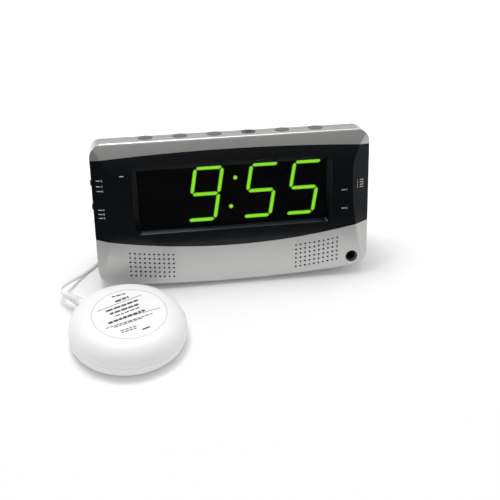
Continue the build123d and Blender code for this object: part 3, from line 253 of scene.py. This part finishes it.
class Nodes:
    """A tree of shader nodes."""

    def __init__(self, tree):
        self.tree = tree

    def node(self, kind, **settings):
        """New node with some of its settings."""
        made = self.tree.nodes.new(kind)
        for name, value in settings.items():
            setattr(made, name, value)
        return made

    def link(self, source, target):
        """Link from one socket to another."""
        self.tree.links.new(source, target)

    def fill(self, slots, *values):
        """Each value on a node's input: a socket is linked, and any other value is set."""
        for slot, value in zip(slots, values):
            if isinstance(value, bpy.types.NodeSocket):
                self.link(value, slot)
            else:
                slot.default_value = value

    def sums(self, operation, *values):
        """Result of a sum on numbers."""
        made = self.node("ShaderNodeMath", operation=operation)
        self.fill(made.inputs, *values)
        return made.outputs["Value"]

    def vectors(self, operation, *values):
        """Result of a sum on vectors: a vector for SUBTRACT, or else a number."""
        made = self.node("ShaderNodeVectorMath", operation=operation)
        self.fill(made.inputs, *values)
        return made.outputs["Vector" if operation == "SUBTRACT" else "Value"]

    def remap(self, value, span, ends=(0.0, 1.0), way="SMOOTHSTEP"):
        """Value that runs from one end to the other over a span."""
        made = self.node("ShaderNodeMapRange", interpolation_type=way)
        for name, limit in zip(("From Min", "From Max", "To Min", "To Max"), (*span, *ends)):
            made.inputs[name].default_value = limit
        self.link(value, made.inputs["Value"])
        return made.outputs["Result"]


class Finish(Nodes):
    """A material whose colour, roughness and relief come from noise in the part's own frame."""

    def __init__(self, name):
        self.material = bpy.data.materials.new(name)
        self.material.use_nodes = True
        super().__init__(self.material.node_tree)
        self.shader = self.tree.nodes["Principled BSDF"]
        self.place = self.node("ShaderNodeTexCoord").outputs["Object"]

    def set(self, **values):
        """Fixed values on the shader's own sockets."""
        for name, value in values.items():
            self.shader.inputs[name.replace("_", " ")].default_value = value
        return self

    def feed(self, name, source):
        """Link to one of the shader's sockets."""
        self.link(source, self.shader.inputs[name])
        return self

    def noise(self, grain, detail=2.0, stretch=(1.0, 1.0, 1.0)):
        """Noise with features about as large as the grain, drawn out along some axes."""
        mapping = self.node("ShaderNodeMapping")
        mapping.inputs["Scale"].default_value = stretch
        self.link(self.place, mapping.inputs["Vector"])
        texture = self.node("ShaderNodeTexNoise")
        texture.inputs["Scale"].default_value = PER_METRE / grain
        texture.inputs["Detail"].default_value = detail
        self.link(mapping.outputs["Vector"], texture.inputs["Vector"])
        return texture.outputs["Fac"]

    def ramp(self, factor, dark, light):
        """Colour that runs from one to another over the middle of a noise's range."""
        ramp = self.node("ShaderNodeValToRGB")
        low, high = ramp.color_ramp.elements
        low.position, high.position = NOISE_RANGE
        low.color, high.color = (*dark, 1.0), (*light, 1.0)
        self.link(factor, ramp.inputs["Fac"])
        return ramp.outputs["Color"]

    def mix(self, factor, first, second, blend="MIX"):
        """Blend of two colours."""
        made = self.node("ShaderNodeMix", data_type="RGBA", blend_type=blend)
        slots = [made.inputs[name] for name in ("Factor", "A", "B")]
        self.fill(slots, factor, first, second)
        return made.outputs["Result"]

    def colour(self, factor, dark, light):
        """Base colour between two colours."""
        return self.feed("Base Color", self.ramp(factor, dark, light))

    def rough(self, factor, low, high):
        """Roughness between two values."""
        return self.feed("Roughness", self.remap(factor, (0.0, 1.0), (low, high), "LINEAR"))

    def relief(self, factor, depth, strength=1.0):
        """Fine relief of the surface."""
        bump = self.node("ShaderNodeBump")
        bump.inputs["Strength"].default_value = strength
        bump.inputs["Distance"].default_value = depth / PER_METRE
        self.link(factor, bump.inputs["Height"])
        return self.feed("Normal", bump.outputs["Normal"])


def about(value, share):
    """A lower and a higher value about one value."""
    return value * (1 - share), value * (1 + share)


def around(colour, share):
    """A darker and a lighter colour about one colour."""
    return zip(*([min(tone, 1.0) for tone in about(part, share)] for part in colour))


def moulded(name, colour, rough, grain=0.8, share=0.04, relief=0.01):
    """Moulded plastic: a little uneven in tone and gloss, with a fine spark-eroded grain."""
    finish = Finish(name)
    finish.colour(finish.noise(TONE_PATCH), *around(colour, share))
    finish.rough(finish.noise(GLOSS_PATCH), *about(rough, MOULD_GLOSS_SHARE))
    return finish.relief(finish.noise(grain, detail=3.0), relief)


def rubbery(name, colour, rough):
    """Soft plastic or rubber, with less shine than a moulded shell."""
    finish = moulded(name, colour, rough, grain=0.6, share=0.03, relief=0.012)
    return finish.set(Specular_IOR_Level=0.4)


def metal(name, colour, rough, brushed=(1.0, 1.0, 1.0)):
    """Bare metal, brushed along an axis where one is drawn out."""
    finish = Finish(name)
    finish.colour(finish.noise(grain=3.0), *around(colour, share=0.08))
    finish.rough(finish.noise(grain=0.6, stretch=brushed), *about(rough, METAL_GLOSS_SHARE))
    finish.relief(finish.noise(grain=0.4, stretch=brushed), depth=0.004, strength=0.5)
    return finish.set(Metallic=1.0)


def sunk(finish, across_span, up_span):
    """1 on walls that go down from the crowned front within two spans of it, and 0 elsewhere."""
    spot = finish.vectors("SUBTRACT", finish.place, SHIFT / PER_METRE)
    across = finish.sums("ABSOLUTE", finish.vectors("DOT_PRODUCT", spot, ACROSS_FACE))
    up = finish.vectors("DOT_PRODUCT", spot, UP_FACE)
    out = finish.vectors("DOT_PRODUCT", spot, OUT_OF_FACE)
    # The crown sags by about the square of the drop from its height over twice its arc's radius.
    below, above = (PER_METRE / (2 * crown_radius(span)) for span in (LOWER_SPAN, UPPER_SPAN))
    upper = finish.sums("GREATER_THAN", up, CROWN_HEIGHT / PER_METRE)
    bend = finish.sums("ADD", finish.sums("MULTIPLY", upper, above - below), below)
    drop = finish.sums("SUBTRACT", CROWN_HEIGHT / PER_METRE, up)
    sag = finish.sums("MULTIPLY", finish.sums("MULTIPLY", drop, drop), bend)
    skin = finish.sums("SUBTRACT", CROWN / PER_METRE, sag)
    depth = finish.sums("SUBTRACT", skin, out)
    mask = finish.remap(depth, [limit / PER_METRE for limit in SUNK_EDGE])
    for value, (low, high) in ((across, across_span), (up, up_span), (depth, SUNK_DEPTH)):
        for limit, way in ((low, "GREATER_THAN"), (high, "LESS_THAN")):
            within = finish.sums(way, value, limit / PER_METRE)
            mask = finish.sums("MULTIPLY", mask, within)
    return mask


def silver_paint():
    """Silver paint, fine metallic grain; speaker hole walls unpainted, near-black painted shade."""
    finish = Finish("silver_paint")
    # Walls sunk into the grille holes: unpainted plastic, darkened near-black as painted shade.
    bare_and_shaded = sunk(finish, GRILLE_ACROSS, GRILLE_UP)
    paint = finish.ramp(finish.noise(grain=0.35, detail=3.0), *around(SILVER, share=0.05))
    finish.feed("Base Color", finish.mix(bare_and_shaded, paint, HOLE_SHADE_BLACK))
    covered = finish.sums("SUBTRACT", 1.0, bare_and_shaded)
    finish.feed("Metallic", finish.sums("MULTIPLY", covered, PAINT_METAL))
    finish.rough(finish.noise(grain=5.0), low=0.30, high=0.36)
    return finish.relief(finish.noise(grain=0.5, detail=3.0), depth=0.004, strength=0.5)


def black_gloss():
    """Glossy black, with less shine on the slopes of the window."""
    finish = Finish("black_gloss")
    slopes = sunk(finish, WINDOW_ACROSS, WINDOW_UP)
    finish.feed("Metallic", finish.sums("MULTIPLY", slopes, SLOPE_METAL))
    finish.colour(finish.noise(grain=25.0), (0.0044, 0.0054, 0.0068), (0.0054, 0.0066, 0.0082))
    finish.rough(finish.noise(grain=9.0), low=0.10, high=0.16)
    finish.relief(finish.noise(grain=7.0), depth=0.004, strength=0.3)
    return finish.set(Specular_IOR_Level=0.25)


def smoked_lens():
    """Clear window with a smoky tint."""
    finish = Finish("smoked_lens")
    finish.colour(finish.noise(grain=30.0), (0.70, 0.72, 0.72), (0.74, 0.76, 0.76))
    finish.rough(finish.noise(grain=12.0), low=0.0, high=0.02)
    return finish.set(Transmission_Weight=1.0, IOR=1.3)


def lit_bars():
    """Light bars: the colour painted on their points, with a faint unevenness of the diffuser."""
    finish = Finish("lit_bars")
    painted = finish.node("ShaderNodeVertexColor", layer_name=GLOW).outputs["Color"]
    uneven = finish.ramp(finish.noise(grain=1.2, detail=1.0), (0.86, 0.86, 0.86), (1.0, 1.0, 1.0))
    finish.feed("Emission Color", finish.mix(1.0, painted, uneven, "MULTIPLY"))
    finish.colour(finish.noise(grain=4.0), (0.05, 0.12, 0.01), (0.06, 0.15, 0.012))
    return finish.set(Emission_Strength=1.35, Roughness=0.4)


def board():
    """Green circuit board under lacquer."""
    finish = Finish("board_green")
    finish.colour(finish.noise(grain=1.2, detail=4.0), (0.012, 0.10, 0.035), (0.02, 0.15, 0.055))
    finish.rough(finish.noise(grain=2.0), low=0.30, high=0.42)
    return finish.relief(finish.noise(grain=0.9), depth=0.02, strength=0.5)


def paper():
    """Dark pressed paper of the speaker cones."""
    finish = Finish("speaker_paper")
    finish.colour(finish.noise(grain=0.5, detail=4.0), (0.018, 0.018, 0.018), (0.04, 0.04, 0.04))
    finish.rough(finish.noise(grain=1.5), low=0.75, high=0.95)
    return finish.relief(finish.noise(grain=0.4, detail=4.0), depth=0.03)


def dull(finish):
    """Finish with hardly any shine."""
    return finish.set(Specular_IOR_Level=DULL)


def dress_nodes():
    """One finish for each of the record's material slots, on every node that has it."""
    finishes = {
        "silver_shell": silver_paint(),
        "black_visor": black_gloss(),
        "smoked_lens": smoked_lens(),
        "display_black": dull(moulded("display_black", (0.002, 0.002, 0.0022), rough=0.7)),
        "lit_green": lit_bars(),
        "unlit_bar": dull(moulded("unlit_bar", (0.0026, 0.0028, 0.0026), rough=0.6)),
        "board_green": board(),
        "screw_steel": metal("screw_steel", (0.52, 0.52, 0.53), rough=0.32),
        "button_grey": moulded("button_grey", (0.11, 0.104, 0.098), rough=0.45),
        "snooze_dark": moulded("snooze_dark", (0.05, 0.047, 0.044), rough=0.45),
        "switch_black": moulded("switch_black", (0.018, 0.018, 0.018), rough=0.45),
        "speaker_frame": moulded("speaker_frame", (0.03, 0.03, 0.03), rough=0.5, grain=0.5,
                                 share=0.1),
        "speaker_paper": paper(),
        "jack_black": dull(moulded("jack_black", (0.003, 0.003, 0.003), rough=0.25)),
        "battery_sleeve": moulded("battery_sleeve", (0.06, 0.065, 0.08), rough=0.3, grain=2.0),
        "foot_rubber": rubbery("foot_rubber", (0.02, 0.02, 0.02), rough=0.8),
        "shaker_white": moulded("shaker_white", (0.82, 0.82, 0.825), rough=0.42, grain=6.0,
                                share=0.012, relief=0.006),
        "label_white": moulded("label_white", (0.84, 0.84, 0.84), rough=0.5, grain=1.0,
                               share=0.01, relief=0.004),
        "motor_steel": metal("motor_steel", (0.48, 0.48, 0.49), rough=0.3, brushed=(0.1, 1.0, 1.0)),
        "weight_metal": metal("weight_metal", (0.26, 0.255, 0.25), rough=0.5),
        "cord_white": rubbery("cord_white", (0.84, 0.84, 0.83), rough=0.42),
        "tie_black": moulded("tie_black", (0.015, 0.015, 0.015), rough=0.5),
    }
    for row in frame["record"]["subparts"]:
        node = NODES[row["node"]]
        node.data.materials.clear()
        node.data.materials.append(finishes[row["material_slot"]].material)
    return finishes


# Lit bars of the display, painted with the glow of their core, edges and tips. SHOWN has the middle
# of each lit digit across the face and the names of its lit bars.
GLOW = "glow"
GLOW_CORE = (0.28, 0.82, 0.016, 1.0)
GLOW_EDGE = (0.10, 0.44, 0.004, 1.0)
GLOW_TIP = (0.34, 0.60, 0.10, 1.0)
DIGIT_MIDDLE = 78.0
DIGIT_SLANT = 0.17
SEGMENT_RISE = 21.0
SEGMENT_HALF_WIDTH = 10.55
SEGMENT_STROKE = 3.0
SEGMENT_GAP = 0.6
SEGMENT_DEPTH = 0.4
SEGMENT_FRONT = -1.2
SEGMENT_TIPS = (0, 3)
CORE_SHARE = 0.45
COLON_RISE = 11.65
COLON_RADIUS = 1.65
COLON_SIDES = 24
COLON_CORE_SHARE = 0.8
NINE = ("top", "upper_left", "upper_right", "middle", "lower_right", "bottom")
FIVE = ("top", "upper_left", "middle", "lower_right", "bottom")
SHOWN = {-22.0: NINE, 22.0: FIVE, 56.4: FIVE}


def bar_spots():
    """Length, middle and whether it stands upright, for each of a digit's seven bars."""
    flat, upright = 2 * SEGMENT_HALF_WIDTH, SEGMENT_RISE
    spots = {name: (flat, (0, rise * SEGMENT_RISE), False)
             for name, rise in (("top", 1), ("middle", 0), ("bottom", -1))}
    for name, side, rise in (("upper_left", -1, 1), ("upper_right", 1, 1),
                             ("lower_left", -1, -1), ("lower_right", 1, -1)):
        spots[name] = (upright, (side * SEGMENT_HALF_WIDTH, rise * SEGMENT_RISE / 2), True)
    return spots


def bar_corners(length, share):
    """Corners of a bar with pointed ends along X, or of its core at a share of its size."""
    point = SEGMENT_STROKE / 2 * share
    half = length / 2 - SEGMENT_GAP - SEGMENT_STROKE / 2 * (1 - share)
    return [(half, 0), (half - point, point), (point - half, point), (-half, 0),
            (point - half, -point), (half - point, -point)]


def bar_outline(digit, name, share):
    """Outline on the face of a digit's bar, or of its core at a share of its size."""
    length, (across, up), upright = bar_spots()[name]
    corners = bar_corners(length, share)
    if upright:
        corners = [(-y, x) for x, y in corners]
    return [(x + across + digit + DIGIT_SLANT * (y + up), y + up + DIGIT_MIDDLE)
            for x, y in corners]


def add_light(shape, layer, rim, core, tips):
    """Closed flat light: a painted rim and core at the front, and the rim again at the back."""
    rings = []
    for outline, depth in ((rim, SEGMENT_DEPTH), (rim, 0.0), (core, 0.0)):
        rings.append([shape.verts.new(on_plane(u, v, SEGMENT_FRONT - depth)) for u, v in outline])
    back, edge, middle = rings
    for number, vert in enumerate(back + edge):
        vert[layer] = GLOW_TIP if number % len(rim) in tips else GLOW_EDGE
    for vert in middle:
        vert[layer] = GLOW_CORE
    shape.faces.new(list(reversed(back)))
    shape.faces.new(middle)
    add_wall(shape, back, edge)
    add_wall(shape, edge, middle)


def make_lit_bars(finish):
    """The lit digits and the colon, in place of their plain solids."""
    shape = bmesh.new()
    layer = shape.verts.layers.float_color.new(GLOW)
    for digit, shown in SHOWN.items():
        for name in shown:
            rim, core = (bar_outline(digit, name, share) for share in (1.0, CORE_SHARE))
            add_light(shape, layer, rim, core, SEGMENT_TIPS)
    for side in (-1, 1):
        middle = (side * DIGIT_SLANT * COLON_RISE, DIGIT_MIDDLE + side * COLON_RISE)
        rim, core = (circle(COLON_RADIUS * share, COLON_SIDES, middle)
                     for share in (1.0, COLON_CORE_SHARE))
        add_light(shape, layer, rim, core, tips=())
    bars = add_shape("lit_bars", shape, finish)
    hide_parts("lit_segments")


# Marks printed on the black band: ticks and plain numbers beside the switches and lamps. The rows
# have their height on the face and their number, the lamps also their place across it.
INK_LIFT = 0.03
INK_THICK = 0.02
INK_ROUGH = 0.6
MARK_WHITE = (0.78, 0.79, 0.80)
TICK_LENGTH = 3.2
TICK_WIDTH = 0.5
NUMBER_SIZE = 2.4
SMALL_NUMBER_SIZE = NUMBER_SIZE * 0.8
NUMBER_SMOOTHNESS = 3
LEFT_ROWS = ((94.9, "2"), (90.4, "1"), (86.6, "0"), (71.5, "1"), (68.1, "2"), (64.9, "3"))
LEFT_ROWS_EDGE = -105.4
RIGHT_ROWS = ((82.0, "1"), (80.0, "2"), (78.0, "3"), (76.0, "4"))
RIGHT_ROWS_EDGE = 104.6
LAMP_NUMBERS = ((89.8, 75.1, "1"), (90.0, 59.6, "2"))
SINGLE_TICK = (-87.6, 97.7)


def add_slab(shape, corners, spot):
    """Thin closed slab over an outline, laid on a surface by a function of its place and lift."""
    low = [shape.verts.new(spot(x, y, INK_LIFT)) for x, y in corners]
    high = [shape.verts.new(spot(x, y, INK_LIFT + INK_THICK)) for x, y in corners]
    shape.faces.new(list(reversed(low)))
    shape.faces.new(high)
    add_wall(shape, low, high)


def add_tick(shape, x, y):
    """Tick on the front, with its lower left corner given."""
    right, top = x + TICK_LENGTH, y + TICK_WIDTH
    add_slab(shape, [(x, y), (right, y), (right, top), (x, top)], on_front)


def add_number(shape, text, x, y, size):
    """Plain number on the front, with its left end and its middle height given."""
    curve = bpy.data.curves.new("number", "FONT")
    curve.body = text
    curve.size = size
    curve.align_y = "CENTER"
    curve.extrude = INK_THICK / 2
    curve.resolution_u = NUMBER_SMOOTHNESS
    holder = add_object("number", curve)
    ready = holder.evaluated_get(bpy.context.evaluated_depsgraph_get())
    mesh = bpy.data.meshes.new_from_object(ready)
    for vert in mesh.vertices:
        across, up, out = vert.co
        vert.co = on_front(x + across, y + up, INK_LIFT + INK_THICK / 2 + out)
    shape.from_mesh(mesh)
    bpy.data.objects.remove(holder)
    bpy.data.curves.remove(curve)
    bpy.data.meshes.remove(mesh)


def add_mark(shape, v, text, tick_at, number_at, size=NUMBER_SIZE):
    """Tick and plain number side by side at a height of the front."""
    add_tick(shape, tick_at, v - TICK_WIDTH / 2)
    add_number(shape, text, number_at, v, size)


def make_band_marks(finish):
    """Marks of the switches at both ends and of the two lamps, and the single tick."""
    shape = bmesh.new()
    for v, text in LEFT_ROWS:
        add_mark(shape, v, text, LEFT_ROWS_EDGE, LEFT_ROWS_EDGE + TICK_LENGTH + TICK_WIDTH)
    for v, text in RIGHT_ROWS:
        edge = RIGHT_ROWS_EDGE - TICK_LENGTH
        add_mark(shape, v, text, edge, edge - NUMBER_SIZE, SMALL_NUMBER_SIZE)
    for u, v, text in LAMP_NUMBERS:
        add_mark(shape, v, text, u - TICK_LENGTH - TICK_WIDTH, u)
    add_tick(shape, *SINGLE_TICK)
    add_shape("band_marks", shape, finish)


# Print of the shaker's label, and a grey ring of painted shade at its edge, measured from the
# label's middle. A rule has its two ends and its width. A row of plain dashes has its two ends,
# its width and the length of its dashes, which varies from dash to dash.
LABEL_MIDDLE = (-88.2, -55.4)
LABEL_TOP = 24.95
# Inner and outer radius of the grey ring of painted shade round the label.
LABEL_SHADE_RADII = (27.45, 27.9)
LABEL_SIDES = 96
PRINT_GREY = (0.05, 0.05, 0.053)
# Grey of that ring: painted shade of the groove round the label.
EDGE_SHADE_GREY = (0.48, 0.48, 0.49)
RULES = (((-23.4, 5.3), (10.0, 20.3), 0.5), ((-11.8, -6.7), (22.8, 3.3), 0.5))
DASH_ROWS = (
    ((-11.9, 20.5), (-1.6, 23.6), 1.3, 3.4), ((-9.7, 14.7), (0.5, 19.4), 2.0, 4.2),
    ((-17.0, 4.4), (7.2, 14.6), 1.9, 4.6), ((-14.4, 0.9), (8.2, 10.1), 1.9, 4.0),
    ((-10.2, -1.8), (7.6, 5.9), 1.1, 3.2), ((-15.9, -9.3), (11.4, 2.2), 2.2, 3.0),
    ((-17.8, -14.6), (16.9, -2.3), 0.9, 2.6), ((-12.0, -14.2), (9.0, -6.4), 0.9, 3.0),
    ((-7.7, -18.6), (5.1, -14.4), 1.0, 2.4), ((-6.9, -20.6), (4.6, -16.8), 1.0, 2.2),
    ((8.2, -19.2), (13.7, -16.9), 1.5, 6.0),
)
DASH_GAP = 0.7
DASH_LEAST = 0.75
DASH_SPREAD = 0.5
DASH_CHANGE = 2.3


def on_label(x, y, lift):
    """Point over the label's top."""
    return place(LABEL_MIDDLE[0] + x, LABEL_MIDDLE[1] + y, LABEL_TOP + lift)


def add_stroke(shape, start, end, width):
    """Straight stroke on the label."""
    start, end = Vector(start), Vector(end)
    along = (end - start).normalized()
    side = Vector((-along.y, along.x)) * width / 2
    add_slab(shape, [start - side, end - side, end + side, start + side], on_label)


def add_dashes(shape, row, start, end, width, word):
    """Row of plain dashes on the label."""
    start, end = Vector(start), Vector(end)
    along, length = (end - start).normalized(), (end - start).length
    reached, count = 0.0, 0
    while reached < length - DASH_GAP:
        dash = word * (DASH_LEAST + DASH_SPREAD * abs(sin(DASH_CHANGE * count + row)))
        stop = min(reached + dash, length)
        add_stroke(shape, start + along * reached, start + along * stop, width)
        reached, count = stop + DASH_GAP, count + 1


def make_label_print(finish):
    """Rules and rows of dashes on the label."""
    shape = bmesh.new()
    for rule in RULES:
        add_stroke(shape, *rule)
    for row, dashes in enumerate(DASH_ROWS):
        add_dashes(shape, row, *dashes)
    add_shape("label_print", shape, finish)


def make_label_ring_shade(finish):
    """Slightly raised grey ring round the label: painted shade of the groove at its edge."""
    shape = bmesh.new()
    rings = []
    for radius, lift in zip((*LABEL_SHADE_RADII, *reversed(LABEL_SHADE_RADII)), (0, 0, INK_LIFT, INK_LIFT)):
        rings.append([shape.verts.new(on_label(x, y, lift + INK_THICK))
                      for x, y in circle(radius, LABEL_SIDES)])
    for low, high in zip(rings, rings[1:] + rings[:1]):
        add_wall(shape, high, low)
    bmesh.ops.recalc_face_normals(shape, faces=shape.faces)
    add_shape("label_ring_shade", shape, finish)


# Floor, in metres: it glows for the camera and in reflections, more with the way from the object
FLOOR_TONES = (0.995, 1.0)
FLOOR_COLOUR = 0.88
FLOOR_PATCH = 400.0
FLOOR_GLOW = (0.02, 0.6)
FLOOR_GLOW_REACH = (0.18, 0.42)
FLOOR_CORNERS = ((-0.65, -0.15), (0.65, -0.15), (0.65, 0.80), (-0.65, 0.80))


def make_floor():
    """Pale floor that keeps the shadows near the object and turns white away from it."""
    mesh = bpy.data.meshes.new("floor")
    mesh.from_pydata([(x, y, 0.0) for x, y in FLOOR_CORNERS], [], [(0, 1, 2, 3)])
    floor = add_object("floor", mesh)
    finish = Finish("floor")
    tones = [(FLOOR_COLOUR * tone,) * 3 for tone in FLOOR_TONES]
    finish.colour(finish.noise(FLOOR_PATCH), *tones)
    finish.set(Roughness=0.9, Specular_IOR_Level=0.1)
    path = finish.node("ShaderNodeLightPath")
    seen = path.outputs["Is Camera Ray"]
    for ray in ("Is Glossy Ray", "Is Transmission Ray"):
        seen = finish.sums("MAXIMUM", seen, path.outputs[ray])
    rise = finish.remap(finish.vectors("LENGTH", finish.place), FLOOR_GLOW_REACH, FLOOR_GLOW)
    glow = finish.node("ShaderNodeEmission")
    finish.link(finish.sums("MULTIPLY", seen, rise), glow.inputs["Strength"])
    both = finish.node("ShaderNodeAddShader")
    finish.fill(both.inputs, finish.shader.outputs[0], glow.outputs[0])
    finish.link(both.outputs[0], finish.tree.nodes["Material Output"].inputs["Surface"])
    mesh.materials.append(finish.material)


# Studio light: dim ahead of the clock, brighter above, behind and to its right. A side has its
# axis, where its light starts and is full along that axis, and its strength.
WHITE = (1.0, 1.0, 1.0, 1.0)
WORLD_DIM = 0.04
WORLD_SIDES = (("Z", 0.02, 0.50, 0.25), ("Y", -0.10, 0.60, 0.45), ("X", 0.42, 0.78, 0.70))

# Soft boxes, in metres and watts: place, size, power and whether reflections show the box
LAMPS = {
    "key": ((-0.19, 0.27, 1.05), (0.55, 0.34), 6.1, True),
    "key_right": ((0.27, 0.27, 1.05), (0.36, 0.34), 1.1, True),
    "strip": ((0.12, -0.05, 1.20), (1.2, 0.2), 1.0, True),
    "side": ((-1.00, -0.50, 0.42), (0.7, 0.5), 2.0, False),
    "fill": ((-0.40, -0.90, 1.30), (1.0, 0.8), 1.2, True),
    "front": ((-0.10, -0.95, 0.30), (0.9, 0.4), 1.4, False),
}


def make_world():
    """White for the camera, and the studio's light for everything else."""
    world = bpy.data.worlds.new("world")
    world.use_nodes = True
    nodes = Nodes(world.node_tree)
    way = nodes.node("ShaderNodeTexCoord").outputs["Generated"]
    axes = nodes.node("ShaderNodeSeparateXYZ")
    nodes.fill(axes.inputs, way)
    total = WORLD_DIM
    for axis, start, full, strength in WORLD_SIDES:
        side = nodes.remap(axes.outputs[axis], (start, full), (0.0, strength))
        total = nodes.sums("ADD", total, side)
    light = nodes.tree.nodes["Background"]
    light.inputs["Color"].default_value = WHITE
    nodes.link(total, light.inputs["Strength"])
    shown = nodes.node("ShaderNodeBackground")
    shown.inputs["Color"].default_value = WHITE
    path = nodes.node("ShaderNodeLightPath")
    mix = nodes.node("ShaderNodeMixShader")
    nodes.fill(mix.inputs, path.outputs["Is Camera Ray"], light.outputs[0], shown.outputs[0])
    nodes.link(mix.outputs[0], nodes.tree.nodes["World Output"].inputs["Surface"])
    bpy.context.scene.world = world


def make_lamp(name, spot, size, power, mirrored):
    """Soft box that faces the middle of the object."""
    data = bpy.data.lights.new(name, "AREA")
    data.shape = "RECTANGLE"
    data.size, data.size_y = size
    data.energy = power
    lamp = add_object(name, data)
    turn = (-Vector(spot)).to_track_quat("-Z", "Y").to_matrix().to_4x4()
    lamp.matrix_world = Matrix.Translation(spot) @ turn
    lamp.visible_glossy = mirrored


make_camera()
FINISHES = dress_nodes()
make_cord(FINISHES["cord_white"])
make_lit_bars(FINISHES["lit_green"])
make_band_marks(moulded("mark_white", MARK_WHITE, INK_ROUGH))
make_label_print(moulded("print_grey", PRINT_GREY, INK_ROUGH))
# Grey ring of painted shade round the label's edge.
make_label_ring_shade(moulded("label_ring_shade", EDGE_SHADE_GREY, INK_ROUGH))
make_floor()
make_world()
for lamp_name, lamp_values in LAMPS.items():
    make_lamp(lamp_name, *lamp_values)
bpy.context.scene.view_settings.view_transform = "Standard"
